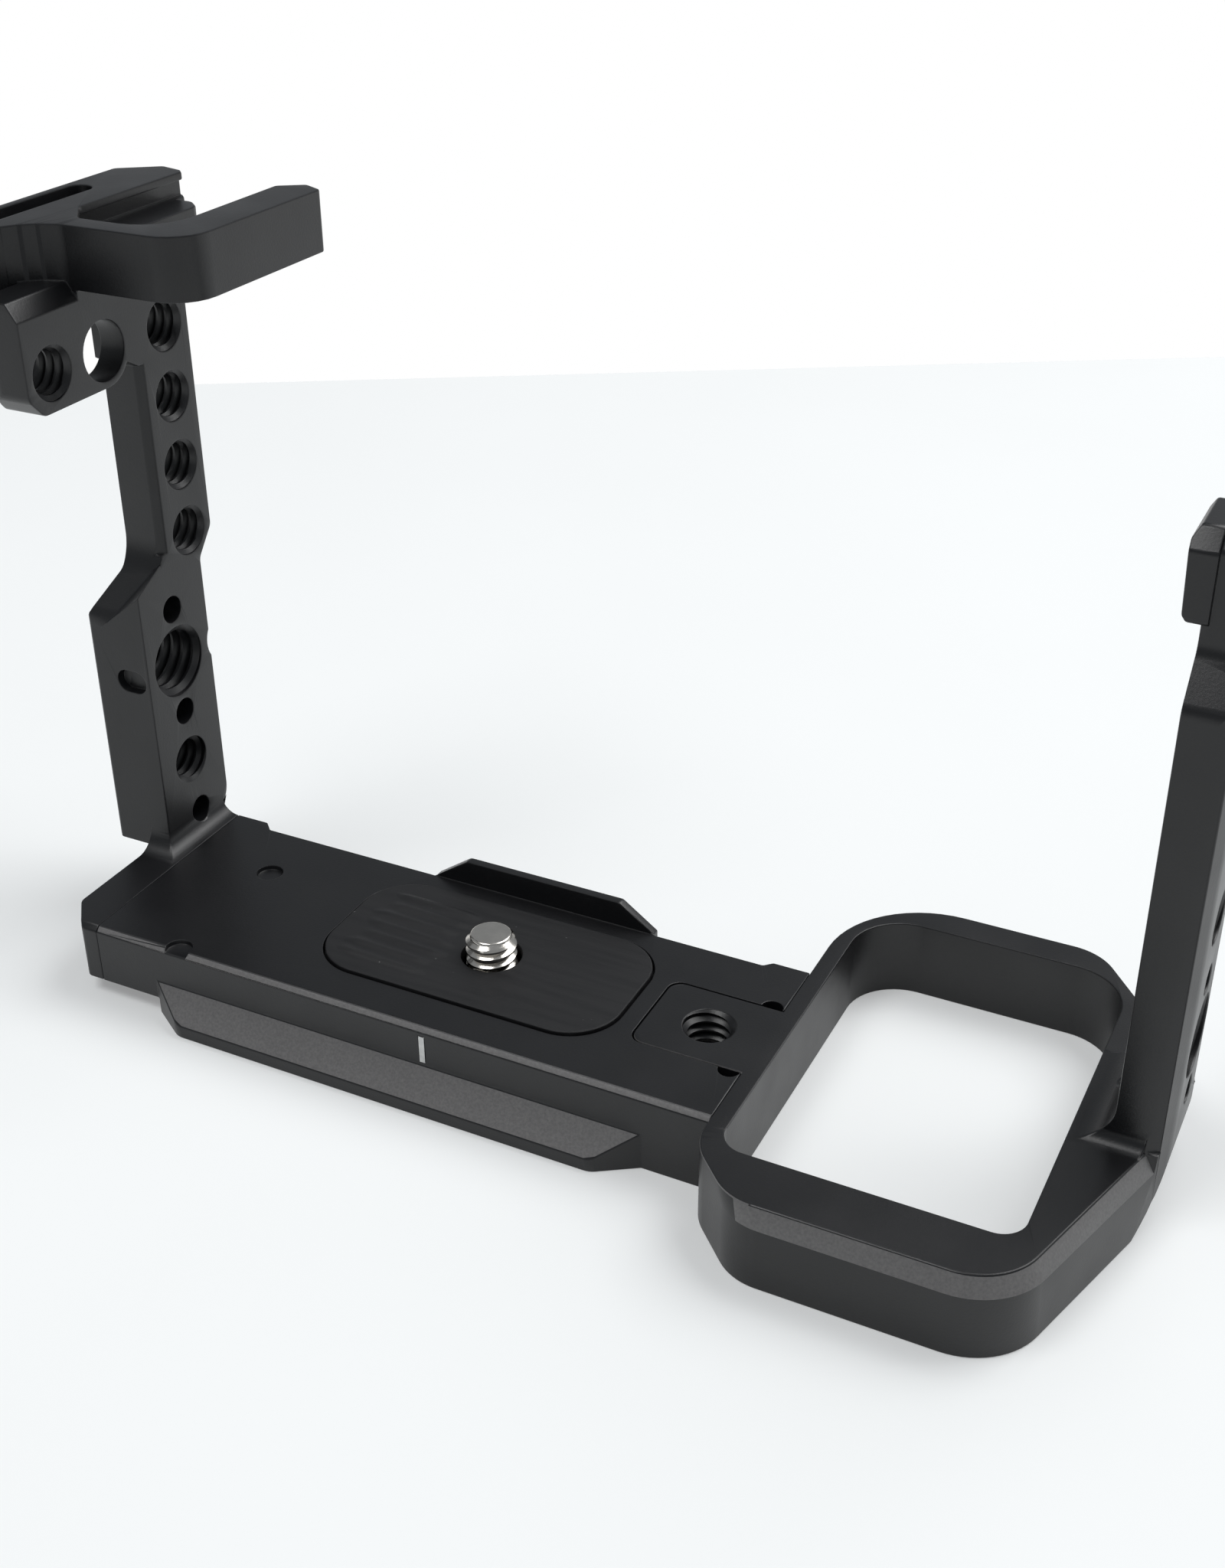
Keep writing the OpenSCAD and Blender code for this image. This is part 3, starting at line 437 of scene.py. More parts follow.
def new_piece(name: str, mesh: bpy.types.Mesh) -> bpy.types.Object:
    """Links a mesh into the scene as a piece at the origin.

    Args:
        name: The piece's name.
        mesh: Its mesh.

    Returns:
        The object.
    """
    piece = bpy.data.objects.new(name, mesh)
    bpy.context.scene.collection.objects.link(piece)
    return piece


def take_new(name: str) -> bpy.types.Object:
    """Names the primitive that was just added, object and mesh alike.

    Args:
        name: The piece's name.

    Returns:
        The object.
    """
    piece = bpy.context.object
    piece.name = piece.data.name = name
    return piece


def settle(piece: bpy.types.Object) -> None:
    """Moves an object's place into its mesh."""
    piece.data.transform(piece.matrix_basis)
    piece.matrix_basis = Matrix.Identity(4)


@dataclass(frozen=True)
class Softening:
    """How a node's edges are broken."""

    width: float
    segments: int = 2
    angle: float = 30.0


def pull_in(piece: bpy.types.Object, node: str, reach: float) -> None:
    """Brings stray corners of the broken edges back to the node's surface.

    Args:
        piece: The piece with the broken edges.
        node: The node that it was copied from.
        reach: How far from the surface a corner may lie, in metres.
    """
    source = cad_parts[node].data
    corners = [vertex.co for vertex in source.vertices]
    surface = BVHTree.FromPolygons(corners, [list(face.vertices) for face in source.polygons])
    strays = 0
    for vertex in piece.data.vertices:
        place, _, _, gap = surface.find_nearest(vertex.co)
        if gap > reach:
            vertex.co = place
            strays += 1
    LOG.info("%s: %d stray corners pulled in", piece.name, strays)


def soft_copy(node: str, name: str, softening: Softening) -> bpy.types.Object:
    """Copies a node of the frame and breaks its sharp edges.

    Args:
        node: The node's name.
        name: The new piece's name.
        softening: Width and angle of the broken edges, which take EDGE_SLOT.

    Returns:
        The new piece, at the node's own place.
    """
    piece = new_piece(name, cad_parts[node].data.copy())
    piece.data.materials.clear()
    edit_all(piece)
    bpy.ops.mesh.customdata_custom_splitnormals_clear()
    bpy.ops.mesh.remove_doubles(threshold=FRAME_WELD)
    leave_edit()
    bevel = piece.modifiers.new("broken_edges", "BEVEL")
    bevel.width = softening.width
    bevel.segments = softening.segments
    bevel.limit_method = "ANGLE"
    bevel.angle_limit = math.radians(softening.angle)
    bevel.use_clamp_overlap = False
    bevel.loop_slide = False
    bevel.material = EDGE_SLOT
    piece.data.materials.append(None)
    piece.data.materials.append(None)
    select_only(piece)
    bpy.ops.object.modifier_apply(modifier=bevel.name)
    pull_in(piece, node, softening.width / 2)
    smooth(piece)
    flats = piece.modifiers.new("flat_faces_stay_flat", "WEIGHTED_NORMAL")
    flats.keep_sharp = True
    flats.weight = 100
    select_only(piece)
    bpy.ops.object.modifier_apply(modifier=flats.name)
    return piece


def stand_for(piece: bpy.types.Object, node: str, body: str) -> None:
    """Lets a piece stand for a node and ride on its body.

    Args:
        piece: The piece.
        node: The node that it hides.
        body: The body that carries both.
    """
    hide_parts(node)
    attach(piece, body)
    LOG.info("%s stands for %s on %s", piece.name, node, body)


def carry(piece: bpy.types.Object, body: str) -> None:
    """Lets an added piece ride on a body.

    Args:
        piece: The piece.
        body: The body that carries it.
    """
    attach(piece, body)
    LOG.info("%s rides on %s", piece.name, body)


# ---------------------------------------------------------------- threads


@dataclass(frozen=True)
class ThreadForm:
    """One size of thread. Lengths are in millimetres, profile widths in pitches."""

    root: float
    crest: float
    pitch: float
    root_half: float = 0.46
    crest_half: float = 0.10
    lead_in: float = 1.2
    bury: float = 0.05
    end_gap: float = 0.04
    run_out: float = 1.3
    steps: int = 40

    @property
    def inward(self) -> bool:
        """Tells whether the crest lies inside the root, as in a tapped hole."""
        return self.root > self.crest

    @property
    def foot(self) -> float:
        """Gives the radius of the ridge's foot, just under the surface that it stands on."""
        return self.root + (self.bury if self.inward else -self.bury)

    def profile(self) -> tuple[tuple[float, float], ...]:
        """Gives the ridge's four corners as radius and rise, the rise in pitches."""
        return (
            (self.foot, -self.root_half),
            (self.crest, -self.crest_half),
            (self.crest, self.crest_half),
            (self.foot, self.root_half),
        )


QUARTER = ThreadForm(root=3.175, crest=2.60, pitch=1.27)
THREE_EIGHTHS = ThreadForm(root=4.7625, crest=4.02, pitch=1.5875)
SCREW_THREAD = ThreadForm(root=2.52, crest=3.14, pitch=1.27)


def thread_ridge(name: str, form: ThreadForm, start: float, end: float) -> bpy.types.Object:
    """Winds a thread's ridge round Z and lets it run out at both ends.

    Args:
        name: The piece's name.
        form: The thread's size; its crest may lie inside or outside its root.
        start: Lower end, in millimetres.
        end: Upper end, in millimetres.

    Returns:
        The ridge, still on the Z axis.
    """
    turns = math.ceil((end - start) / form.pitch) + 2
    bpy.ops.object.select_all(action="DESELECT")
    bpy.ops.mesh.primitive_circle_add(vertices=4, radius=form.pitch * MM)
    ridge = take_new(name)
    low = start - form.lead_in * form.pitch
    for vertex, (radius, rise) in zip(ridge.data.vertices, form.profile()):
        vertex.co = Vector((radius, 0.0, low + rise * form.pitch)) * MM
    winding = ridge.modifiers.new("winding", "SCREW")
    winding.axis = "Z"
    winding.angle = math.tau
    winding.screw_offset = form.pitch * MM
    winding.iterations = turns
    winding.steps = winding.render_steps = form.steps
    select_only(ridge)
    bpy.ops.object.modifier_apply(modifier=winding.name)
    lowest, highest = start + form.end_gap, end - form.end_gap
    for vertex in ridge.data.vertices:
        x, y, z = vertex.co / MM
        inside = min(max(z, lowest), highest)
        reach = math.hypot(x, y)
        room = min(highest - inside, inside - lowest) * form.run_out
        if form.inward:
            kept = max(reach, min(form.foot, form.foot - room))
        else:
            kept = min(reach, form.foot + room)
        vertex.co = Vector((x * kept / reach, y * kept / reach, inside)) * MM
    edit_all(ridge)
    bpy.ops.mesh.remove_doubles(threshold=THREAD_WELD)
    bpy.ops.mesh.select_all(action="SELECT")
    bpy.ops.mesh.normals_make_consistent(inside=False)
    leave_edit()
    return ridge


@dataclass(frozen=True)
class TappedHole:
    """A tapped hole's place, by the middle of its length. Millimetres."""

    name: str
    form: ThreadForm
    middle: tuple[float, float, float]
    length: float
    facing: Facing = Facing.ALONG_X

    def cut(self, finishes: Finishes) -> bpy.types.Object:
        """Winds the thread into the hole.

        Args:
            finishes: The cage's finishes.

        Returns:
            The thread as a piece on the cage.
        """
        ridge = thread_ridge(self.name, self.form, -self.length / 2, self.length / 2)
        place = Matrix.Translation(Vector(self.middle) * MM)
        if self.facing is Facing.ALONG_X:
            place = place @ Matrix.Rotation(math.radians(90.0), 4, "Y")
        ridge.data.transform(place)
        dress(ridge, finishes.anodised)
        smooth(ridge, ROUND_SHADING)
        carry(ridge, CAGE)
        return ridge


# ---------------------------------------------------------------- sub-assemblies


@dataclass
class BasePlate:
    """The base plate with its milled faces, lightened as a painted highlight, and its index mark.
    Millimetres.
    """

    finishes: Finishes
    edge_width: float = 0.16
    lean_least: float = 0.55
    smallest_face: float = 1.0
    mark_middle: tuple[float, float, float] = (-0.35, -16.425, -3.1)
    mark_size: tuple[float, float, float] = (0.78, 0.13, 3.78)
    mark_round: float = 0.05

    def body(self) -> bpy.types.Object:
        """Softens the plate, gives its edges a painted highlight and gives its milled faces a lighter
        finish that is partly a painted highlight.

        Returns:
            The plate.
        """
        plate = soft_copy("base_plate", "base_plate_soft", Softening(self.edge_width * MM))
        dress(plate, self.finishes.anodised, self.finishes.edge, self.finishes.milled_with_highlight)
        # Faces that lean up and to the front take the milled finish, lightened as a painted highlight.
        for face in plate.data.polygons:
            leaning = face.normal.z > self.lean_least and face.normal.y < -self.lean_least
            if leaning and face.area > self.smallest_face * MM * MM:
                face.material_index = MILLED_HIGHLIGHT_SLOT
        stand_for(plate, "base_plate", CAGE)
        return plate

    def mark(self) -> bpy.types.Object:
        """Fills the engraved index line on the back face with paint.

        Returns:
            The painted line.
        """
        bpy.ops.object.select_all(action="DESELECT")
        bpy.ops.mesh.primitive_cube_add(size=1.0)
        line = take_new("index_mark")
        line.data.transform(Matrix.Diagonal((*[s * MM for s in self.mark_size], 1.0)))
        line.data.transform(Matrix.Translation(Vector(self.mark_middle) * MM))
        edit_all(line)
        bpy.ops.mesh.bevel(offset=self.mark_round * MM, segments=3, affect="EDGES")
        leave_edit()
        dress(line, self.finishes.paint)
        smooth(line, ROUND_SHADING)
        carry(line, CAGE)
        return line

    def build(self) -> list[bpy.types.Object]:
        """Builds the base plate's pieces.

        Returns:
            The pieces.
        """
        return [self.body(), self.mark()]


@dataclass
class Pad:
    """The rubber pad with its ribs. Millimetres."""

    finishes: Finishes
    rib_left: float = -18.4
    rib_right: float = -4.6
    rib_back: float = -8.2
    rib_front: float = 7.4
    rib_count: int = 8
    rib_rise: float = 0.22
    rib_floor: float = 0.12
    rib_lean: float = 0.032
    end_fade: float = 2.4
    side_fade: float = 8.0
    end_sway: float = 0.1
    end_sways: float = 7.0
    rim_drop: float = 0.02
    skirt: float = 0.1
    grid: tuple[int, int] = (48, 112)
    shading: float = 50.0
    pad_top: float = 0.30
    rim_width: float = 0.18

    def body(self) -> bpy.types.Object:
        """Softens the pad's rim.

        Returns:
            The pad.
        """
        pad = soft_copy("grip_pad", "grip_pad_soft", Softening(self.rim_width * MM, 3))
        dress(pad, self.finishes.pad, self.finishes.pad)
        stand_for(pad, "grip_pad", CAGE)
        return pad

    def rib_height(self, x: float, y: float) -> float:
        """Gives the height of the ribbed field above the pad's top.

        Args:
            x: Place along the ribs, -1 to 1.
            y: Place across the ribs, -1 to 1.

        Returns:
            The height, a little below the top at the field's rim.
        """
        sway = self.end_sway * math.sin(self.end_sways * y)
        ends = min(1.0, self.end_fade * (1.0 - abs(x + sway)))
        sides = min(1.0, self.side_fade * (1.0 - abs(y)))
        fade = max(ends * sides, 0.0)
        soft = fade * fade * (3.0 - 2.0 * fade)
        wave = 0.5 + 0.5 * math.cos(math.pi * (self.rib_count - 1) * (y + self.rib_lean * x))
        rise = self.rib_rise * soft * (self.rib_floor + (1.0 - self.rib_floor) * wave)
        return rise - self.rim_drop * (1.0 - soft)

    def ribs(self) -> bpy.types.Object:
        """Raises low soft ribs on the pad's left half, as one waved sheet.

        Returns:
            The ribs.
        """
        bpy.ops.object.select_all(action="DESELECT")
        columns, rows = self.grid
        bpy.ops.mesh.primitive_grid_add(x_subdivisions=columns, y_subdivisions=rows, size=2.0)
        ribs = take_new("grip_pad_ribs")
        middle = Vector((self.rib_left + self.rib_right, self.rib_back + self.rib_front)) / 2
        reach = Vector((self.rib_right - self.rib_left, self.rib_front - self.rib_back)) / 2
        for vertex in ribs.data.vertices:
            x, y = vertex.co.x, vertex.co.y
            height = self.pad_top + self.rib_height(x, y)
            vertex.co = Vector((middle.x + x * reach.x, middle.y + y * reach.y, height)) * MM
        edit_all(ribs)
        bpy.ops.mesh.select_all(action="DESELECT")
        bpy.ops.mesh.select_non_manifold()
        down = (0.0, 0.0, -self.skirt * MM)
        bpy.ops.mesh.extrude_edges_move(TRANSFORM_OT_translate={"value": down})
        bpy.ops.mesh.edge_face_add()
        bpy.ops.mesh.select_all(action="SELECT")
        bpy.ops.mesh.normals_make_consistent(inside=False)
        leave_edit()
        dress(ribs, self.finishes.pad)
        smooth(ribs, self.shading)
        carry(ribs, CAGE)
        return ribs

    def build(self) -> list[bpy.types.Object]:
        """Builds the pad's pieces.

        Returns:
            The pieces.
        """
        return [self.body(), self.ribs()]


@dataclass
class CameraScrew:
    """The captive camera screw. Millimetres."""

    finishes: Finishes
    shank_cut: float = -0.9
    core_radius: float = 2.6
    core_sides: int = 64
    overlap: float = 0.1
    tip_round: float = 0.34
    ridge_below: float = 1.0
    edge_width: float = 0.12
    clip_edge_width: float = 0.08
    shading: float = 32.0
    tip: float = 3.5
    tip_bevel: float = 0.8
    tip_radius: float = 2.25

    def shank(self) -> bpy.types.Object:
        """Keeps the head and shank of the node, cut off below the thread.

        Returns:
            The lower half of the screw.
        """
        shank = soft_copy("camera_screw", "camera_screw_threaded", Softening(self.edge_width * MM))
        edit_all(shank)
        bpy.ops.mesh.bisect(
            plane_co=(0.0, 0.0, self.shank_cut * MM), plane_no=(0.0, 0.0, 1.0),
            use_fill=True, clear_outer=True,
        )
        leave_edit()
        return shank

    def core(self) -> bpy.types.Object:
        """Turns the thread's core with its chamfered tip.

        Returns:
            The core.
        """
        low, top = self.shank_cut - self.overlap, self.tip
        bpy.ops.object.select_all(action="DESELECT")
        bpy.ops.mesh.primitive_cylinder_add(
            vertices=self.core_sides,
            radius=self.core_radius * MM,
            depth=(top - low) * MM,
            location=(0, 0, (top + low) / 2 * MM),
        )
        core = bpy.context.object
        settle(core)
        edit_all(core)
        bpy.ops.mesh.select_all(action="DESELECT")
        leave_edit()
        upper = (top + low) / 2 * MM
        for edge in core.data.edges:
            edge.select = all(core.data.vertices[i].co.z > upper for i in edge.vertices)
        for vertex in core.data.vertices:
            vertex.select = vertex.co.z > upper
        bpy.ops.object.mode_set(mode="EDIT")
        bpy.ops.mesh.bevel(offset=self.tip_round * MM, segments=3, affect="EDGES")
        leave_edit()
        return core

    def ridge(self) -> bpy.types.Object:
        """Winds the thread and lets it run out on the tip's cone.

        Returns:
            The ridge.
        """
        start, end = self.shank_cut - self.ridge_below, self.tip - self.overlap
        ridge = thread_ridge("camera_screw_ridge", SCREW_THREAD, start, end)
        crest = SCREW_THREAD.crest
        for vertex in ridge.data.vertices:
            over = vertex.co.z / MM - (self.tip - self.tip_bevel)
            if over <= 0:
                continue
            limit = (crest - over * (crest - self.tip_radius) / self.tip_bevel) * MM
            reach = math.hypot(vertex.co.x, vertex.co.y)
            if reach > limit:
                vertex.co.x *= limit / reach
                vertex.co.y *= limit / reach
        return ridge

    def build(self) -> list[bpy.types.Object]:
        """Joins the screw into one piece and softens its clip.

        Returns:
            The screw and its clip.
        """
        shank, core, ridge = self.shank(), self.core(), self.ridge()
        bpy.ops.object.select_all(action="DESELECT")
        for part in (shank, core, ridge):
            part.data.materials.clear()
            part.select_set(True)
        bpy.context.view_layer.objects.active = shank
        bpy.ops.object.join()
        dress(shank, self.finishes.stainless)
        for face in shank.data.polygons:
            face.material_index = 0
        smooth(shank, self.shading)
        stand_for(shank, "camera_screw", "screw")
        clip_edges = Softening(self.clip_edge_width * MM)
        clip = soft_copy("screw_clip", "screw_clip_soft", clip_edges)
        dress(clip, self.finishes.black_steel, self.finishes.black_steel)
        stand_for(clip, "screw_clip", "clip")
        return [shank, clip]


@dataclass
class SidePlate:
    """The left side plate with its tapped holes. Millimetres."""

    finishes: Finishes
    lower_middle: float = -55.05
    upper_middle: float = -53.4
    lower_row: float = 8.85
    upper_row: float = 14.01
    first_upper: float = 41.95
    row_pitch: float = 8.9
    row_count: int = 4
    low_z: float = 10.97
    large_z: float = 25.6
    tab_y: float = -6.35
    tab_z: float = 68.7
    lower_length: float = 8.9
    upper_length: float = 5.6
    edge_width: float = 0.2

    def body(self) -> bpy.types.Object:
        """Softens the plate's edges and gives them a painted highlight.

        Returns:
            The plate.
        """
        plate = soft_copy("side_plate", "side_plate_soft", Softening(self.edge_width * MM))
        dress(plate, self.finishes.anodised, self.finishes.edge)
        stand_for(plate, "side_plate", CAGE)
        return plate

    def holes(self) -> list[TappedHole]:
        """Lists the plate's tapped holes.

        Returns:
            The holes.
        """
        low = (self.lower_middle, self.lower_row, self.low_z)
        large = (self.lower_middle, self.lower_row, self.large_z)
        tab = (self.upper_middle, self.tab_y, self.tab_z)
        rows = [
            TappedHole("thread_left_low", QUARTER, low, self.lower_length),
            TappedHole("thread_left_large", THREE_EIGHTHS, large, self.lower_length),
            TappedHole("thread_tab", QUARTER, tab, self.upper_length),
        ]
        for index in range(self.row_count):
            middle = (self.upper_middle, self.upper_row, self.first_upper + index * self.row_pitch)
            rows.append(TappedHole(f"thread_left_row_{index + 1}", QUARTER, middle, self.upper_length))
        return rows

    def build(self) -> list[bpy.types.Object]:
        """Builds the plate and its threads.

        Returns:
            The pieces.
        """
        return [self.body(), *(hole.cut(self.finishes) for hole in self.holes())]


@dataclass
class GripFrame:
    """The ring, its tongue and the right upright. Millimetres."""

    finishes: Finishes
    wall_middle: float = 79.925
    row: float = 7.85
    large_z: float = 10.2
    quarter_z: float = 25.6
    wall_length: float = 5.8
    tongue_middle: tuple[float, float, float] = (29.75, -1.15, -2.75)
    tongue_length: float = 5.4
    edge_width: float = 0.2
    bevel_lean: tuple[float, float] = (0.30, 0.70)
    bevel_heights: tuple[float, float] = (-2.3, 0.0)
    bevel_front: float = -0.85

    def body(self) -> bpy.types.Object:
        """Softens the frame, gives its edges a painted highlight and gives the near part of the ring's
        bevel the milled finish, lightened as a painted highlight.

        Returns:
            The frame.
        """
        ring = soft_copy("grip_frame", "grip_frame_soft", Softening(self.edge_width * MM))
        dress(ring, self.finishes.anodised, self.finishes.edge, self.finishes.milled_with_highlight)
        flattest, steepest = self.bevel_lean
        low, high = self.bevel_heights
        # The near part of the bevel takes the milled finish, lightened as a painted highlight.
        for face in ring.data.polygons:
            leaning = flattest < face.normal.z < steepest
            level = low * MM < face.center.z < high * MM
            near = face.center.y < self.bevel_front * MM
            if leaning and level and near and face.material_index != EDGE_SLOT:
                face.material_index = MILLED_HIGHLIGHT_SLOT
        stand_for(ring, "grip_frame", CAGE)
        return ring

    def holes(self) -> list[TappedHole]:
        """Lists the frame's tapped holes.

        Returns:
            The holes.
        """
        large = (self.wall_middle, self.row, self.large_z)
        quarter = (self.wall_middle, self.row, self.quarter_z)
        return [
            TappedHole("thread_tongue", QUARTER, self.tongue_middle, self.tongue_length, Facing.ALONG_Z),
            TappedHole("thread_right_large", THREE_EIGHTHS, large, self.wall_length),
            TappedHole("thread_right_quarter", QUARTER, quarter, self.wall_length),
        ]

    def build(self) -> list[bpy.types.Object]:
        """Builds the frame and its threads.

        Returns:
            The pieces.
        """
        return [self.body(), *(hole.cut(self.finishes) for hole in self.holes())]


@dataclass
class Fasteners:
    """Screws, pins, the key and its magnets, in the cage's underside and side."""

    finishes: Finishes

    def build(self) -> list[bpy.types.Object]:
        """Softens each piece and gives it its finish.

        Returns:
            The pieces.
        """
        black, bright = self.finishes.black_steel, self.finishes.stainless
        plan = (  # node, body, finish, slot, width of the broken edges in millimetres
            ("side_screws", CAGE, black, Slot.BLACK_STEEL, 0.12),
            ("side_pins", CAGE, bright, Slot.STAINLESS, 0.1),
            ("tongue_screws", CAGE, black, Slot.BLACK_STEEL, 0.08),
            ("tongue_pins", CAGE, bright, Slot.STAINLESS, 0.1),
            ("key_magnets", CAGE, bright, Slot.STAINLESS, 0.1),
            ("flat_key", "key", bright, Slot.STAINLESS, 0.15),
        )
        made: list[bpy.types.Object] = []
        for node, body, finish, slot, width in plan:
            piece = soft_copy(node, f"{node}_soft", Softening(width * MM))
            dress(piece, finish, finish)
            stand_for(piece, node, body)
            made.append(piece)
        return made


# ---------------------------------------------------------------- studio


def background_rays(tree: bpy.types.NodeTree) -> bpy.types.NodeSocket:
    """Picks out the rays that show the background: camera, glossy and transmission.

    Args:
        tree: The node tree of a material or of the world.

    Returns:
        A socket that is 1 for those rays.
    """
    path = tree.nodes.new("ShaderNodeLightPath")
    first, both = tree.nodes.new("ShaderNodeMath"), tree.nodes.new("ShaderNodeMath")
    first.operation = both.operation = "MAXIMUM"
    tree.links.new(path.outputs["Is Camera Ray"], first.inputs[0])
    tree.links.new(path.outputs["Is Transmission Ray"], first.inputs[1])
    tree.links.new(first.outputs["Value"], both.inputs[0])
    tree.links.new(path.outputs["Is Glossy Ray"], both.inputs[1])
    return both.outputs["Value"]


@dataclass(frozen=True)
class Lamp:
    """A soft square lamp that looks at the cage. Metres and watts."""

    name: str
    place: tuple[float, float, float]
    size: float
    power: float
    target: tuple[float, float, float] = (0.01, 0.0, 0.02)

    def hang(self) -> None:
        """Adds the lamp to the scene."""
        data = bpy.data.lights.new(self.name, "AREA")
        data.shape = "SQUARE"
        data.size = self.size
        data.energy = self.power
        lamp = bpy.data.objects.new(self.name, data)
        bpy.context.scene.collection.objects.link(lamp)
        aim = Vector(self.target) - Vector(self.place)
        lamp.rotation_euler = aim.to_track_quat("-Z", "Y").to_euler()
        lamp.location = self.place


@dataclass(frozen=True)
class Floor:
    """A plain pale floor that ends behind the cage. Metres."""

    height: float = -0.0103
    corners: tuple[tuple[float, float], ...] = ((-3.0, -4.0), (3.0, -4.0), (-3.0, -1.467), (3.0, 2.055))
    dark: tuple[float, float, float] = (0.80, 0.82, 0.82)
    light: tuple[float, float, float] = (0.86, 0.88, 0.88)
    rough: float = 0.7
    specular: float = 0.2
    cloud_size: float = 9.0
    glow: float = 0.25
    glow_reach: tuple[float, float] = (0.55, 1.10)

    def glow_share(self, material: bpy.types.Material) -> bpy.types.NodeSocket:
        """Gives the share of plain white in the floor, which grows away from the cage.

        Args:
            material: The floor's material.

        Returns:
            The share's socket; it is 0 for the rays that light the cage.
        """
        nodes = material.node_tree.nodes
        place = nodes.new("ShaderNodeTexCoord")
        apart = nodes.new("ShaderNodeVectorMath")
        apart.operation = "LENGTH"
        seen = nodes.new("ShaderNodeMath")
        seen.operation = "MULTIPLY"
        link(material, place.outputs["Object"], apart.inputs[0])
        strength = ranged(material, apart.outputs["Value"], self.glow_reach, (self.glow, 1.0))
        link(material, background_rays(material.node_tree), seen.inputs[0])
        link(material, strength, seen.inputs[1])
        return seen.outputs["Value"]

    def material(self) -> bpy.types.Material:
        """Makes the floor's material.

        Returns:
            The material.
        """
        material, shader = fresh_material("floor_pale")
        shader.inputs["Roughness"].default_value = self.rough
        shader.inputs["Specular IOR Level"].default_value = self.specular
        cloud = object_noise(material, self.cloud_size, 4.0)
        link(material, between(material, cloud, self.dark, self.light), shader.inputs["Base Color"])
        nodes = material.node_tree.nodes
        white = nodes.new("ShaderNodeEmission")
        mix = nodes.new("ShaderNodeMixShader")
        link(material, self.glow_share(material), mix.inputs["Fac"])
        link(material, shader.outputs["BSDF"], mix.inputs[1])
        link(material, white.outputs["Emission"], mix.inputs[2])
        link(material, mix.outputs["Shader"], nodes["Material Output"].inputs["Surface"])
        return material

    def lay(self) -> None:
        """Adds the floor to the scene."""
        bpy.ops.object.select_all(action="DESELECT")
        bpy.ops.mesh.primitive_plane_add(size=1.0)
        floor = take_new("floor")
        for vertex, (x, y) in zip(floor.data.vertices, self.corners):
            vertex.co = (x, y, self.height)
        dress(floor, self.material())


@dataclass(frozen=True)
class Room:
    """The even light of the room and its white backdrop, as the world."""

    tint: tuple[float, float, float] = (0.90, 0.95, 1.0)
    strength: float = 0.30
    white_below: float = 0.16
    white_behind: tuple[float, float] = (-0.05, 0.25)

    def low_and_behind(self, tree: bpy.types.NodeTree) -> bpy.types.NodeSocket:
        """Picks out the backdrop: directions that are low and behind the cage.

        Args:
            tree: The world's node tree.

        Returns:
            A socket that is 1 at the backdrop.
        """
        sky = tree.nodes.new("ShaderNodeTexCoord")
        way = tree.nodes.new("ShaderNodeSeparateXYZ")
        low, behind = tree.nodes.new("ShaderNodeMapRange"), tree.nodes.new("ShaderNodeMapRange")
        low.inputs["From Max"].default_value = self.white_below
        low.inputs["To Min"].default_value, low.inputs["To Max"].default_value = 1.0, 0.0
        for socket, number in zip(("From Min", "From Max"), self.white_behind):
            behind.inputs[socket].default_value = number
        both = tree.nodes.new("ShaderNodeMath")
        both.operation = "MULTIPLY"
        tree.links.new(sky.outputs["Generated"], way.inputs["Vector"])
        tree.links.new(way.outputs["Z"], low.inputs["Value"])
        tree.links.new(way.outputs["Y"], behind.inputs["Value"])
        tree.links.new(low.outputs["Result"], both.inputs[0])
        tree.links.new(behind.outputs["Result"], both.inputs[1])
        return both.outputs["Value"]

    def white_share(self, tree: bpy.types.NodeTree) -> bpy.types.NodeSocket:
        """Gives the share of plain white: all for the camera, the backdrop for reflections.

        Args:
            tree: The world's node tree.

        Returns:
            The share's socket.
        """
        path = tree.nodes.new("ShaderNodeLightPath")
        shown, either = tree.nodes.new("ShaderNodeMath"), tree.nodes.new("ShaderNodeMath")
        shown.operation, either.operation = "MULTIPLY", "MAXIMUM"
        tree.links.new(background_rays(tree), shown.inputs[0])
        tree.links.new(self.low_and_behind(tree), shown.inputs[1])
        tree.links.new(shown.outputs["Value"], either.inputs[0])
        tree.links.new(path.outputs["Is Camera Ray"], either.inputs[1])
        return either.outputs["Value"]

    def build(self) -> None:
        """Sets the scene's world."""
        world = bpy.data.worlds.new("room")
        world.use_nodes = True
        bpy.context.scene.world = world
        tree = world.node_tree
        base = tree.nodes["Background"]
        base.inputs["Color"].default_value = (*self.tint, 1.0)
        base.inputs["Strength"].default_value = self.strength
        white = tree.nodes.new("ShaderNodeBackground")
        white.inputs["Color"].default_value = (1.0, 1.0, 1.0, 1.0)
        white.inputs["Strength"].default_value = 1.0
        mix = tree.nodes.new("ShaderNodeMixShader")
        tree.links.new(self.white_share(tree), mix.inputs["Fac"])
        tree.links.new(base.outputs["Background"], mix.inputs[1])
        tree.links.new(white.outputs["Background"], mix.inputs[2])
        tree.links.new(mix.outputs["Shader"], tree.nodes["World Output"].inputs["Surface"])


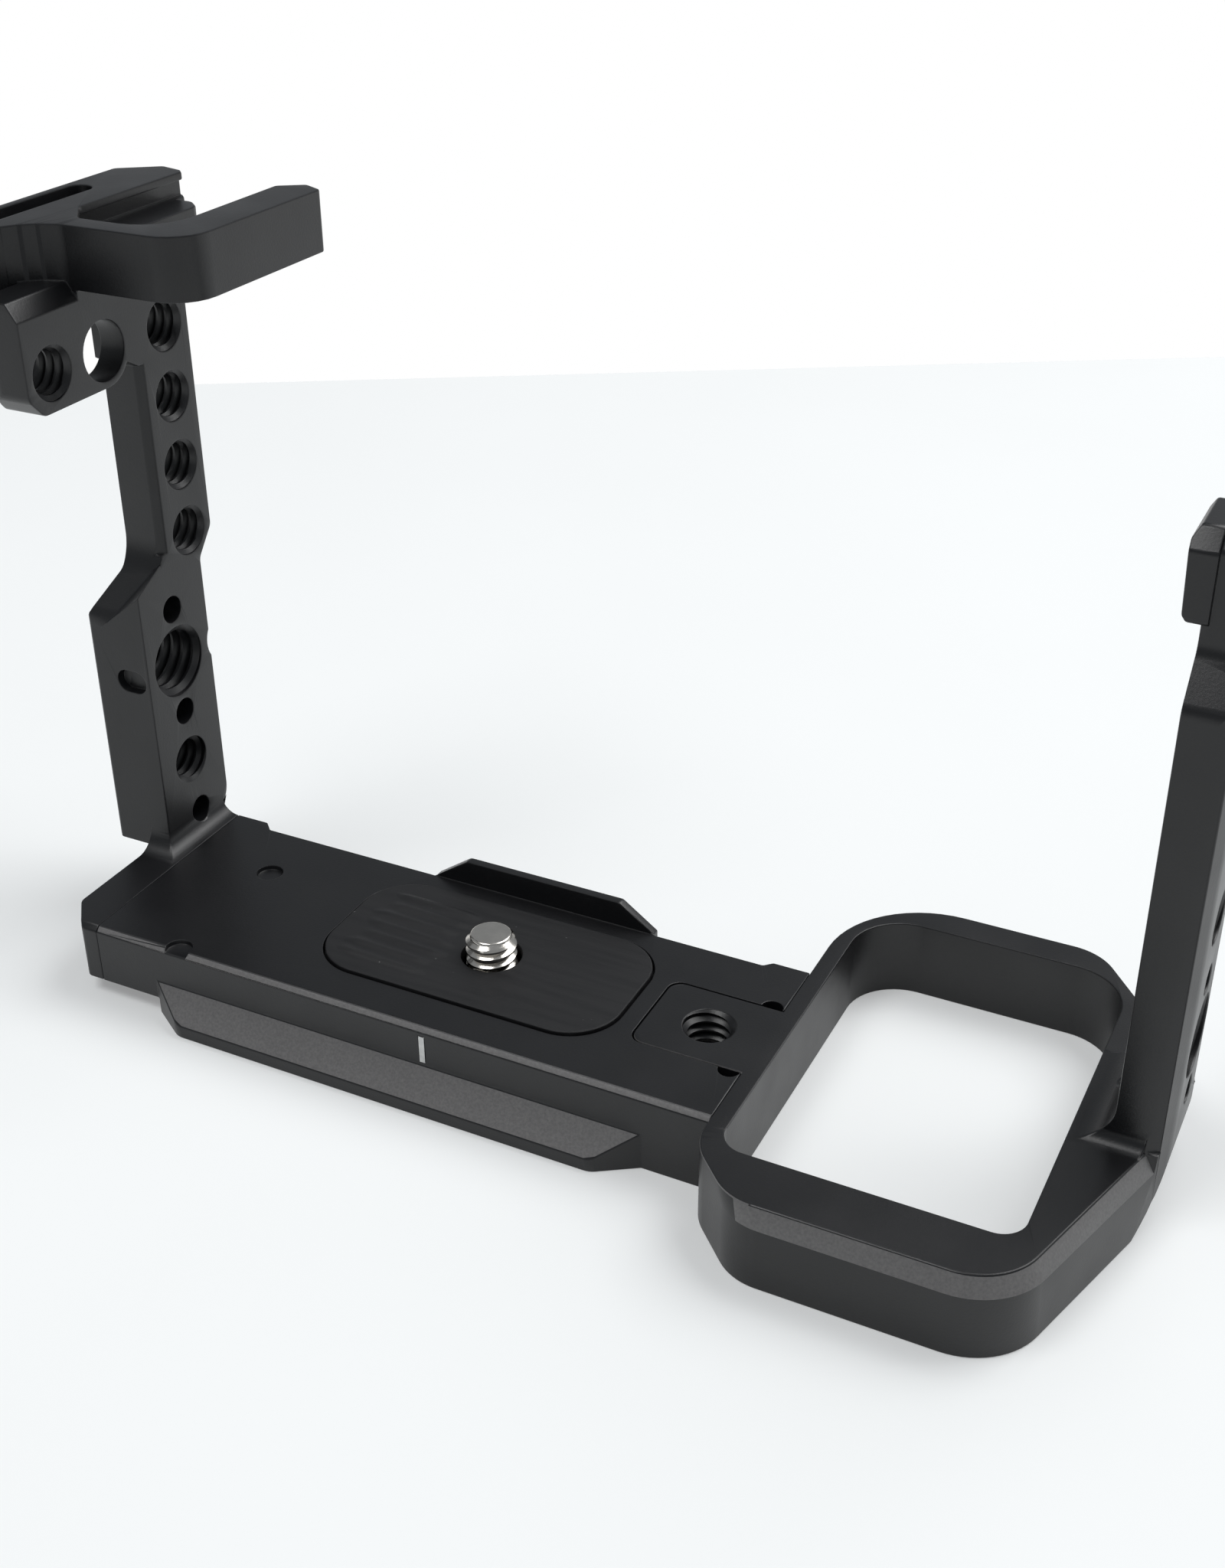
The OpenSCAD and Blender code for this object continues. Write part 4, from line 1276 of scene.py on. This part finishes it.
@dataclass(frozen=True)
class Portrait:
    """The camera, where the cage was seen from. Metres, and millimetres for the lens."""

    eye: tuple[float, float, float] = (0.100744, -0.170285, 0.139144)
    lens: float = 44.78
    film: float = 36.0
    clip: tuple[float, float] = (0.01, 20.0)
    axes: tuple[tuple[float, float, float], ...] = (
        (0.897466660953635, 0.4410713579711545, -0.0031063892567892),
        (-0.2192460759704869, 0.4521982014646947, 0.8645507184449267),
        (0.3827332630544104, -0.7752243828528467, 0.5025359744159082),
    )

    def place(self) -> None:
        """Adds the camera to the scene and looks through it."""
        data = bpy.data.cameras.new("portrait")
        data.sensor_fit = "VERTICAL"
        data.sensor_width = data.sensor_height = self.film
        data.lens = self.lens
        data.clip_start, data.clip_end = self.clip
        camera = bpy.data.objects.new("portrait", data)
        bpy.context.scene.collection.objects.link(camera)
        turned = Matrix(self.axes).transposed().to_4x4()
        camera.matrix_world = Matrix.Translation(self.eye) @ turned
        bpy.context.scene.camera = camera


@dataclass
class Studio:
    """Everything round the cage: camera, floor, lamps and room."""

    portrait: Portrait = field(default_factory=Portrait)
    floor: Floor = field(default_factory=Floor)
    room: Room = field(default_factory=Room)
    lamps: tuple[Lamp, ...] = (
        Lamp("key_overhead", (-0.26, -0.36, 1.02), size=0.5, power=4.5),
        Lamp("window_right", (0.42, 0.50, 0.92), size=0.8, power=9.5),
    )

    def build(self) -> None:
        """Sets up the studio."""
        self.portrait.place()
        self.floor.lay()
        for lamp in self.lamps:
            lamp.hang()
        self.room.build()
        bpy.context.scene.view_settings.view_transform = "Standard"


def main() -> None:
    """Builds the cage's pieces in order, then the studio."""
    logging.basicConfig(level=logging.INFO, format="%(name)s: %(message)s")
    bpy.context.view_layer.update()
    finishes = Finishes()
    assemblies = (
        BasePlate(finishes),
        Pad(finishes),
        CameraScrew(finishes),
        SidePlate(finishes),
        GripFrame(finishes),
        Fasteners(finishes),
    )
    for assembly in assemblies:
        pieces = assembly.build()
        LOG.info("%s: %d pieces", type(assembly).__name__, len(pieces))
    Studio().build()


if __name__ == "__main__":
    main()
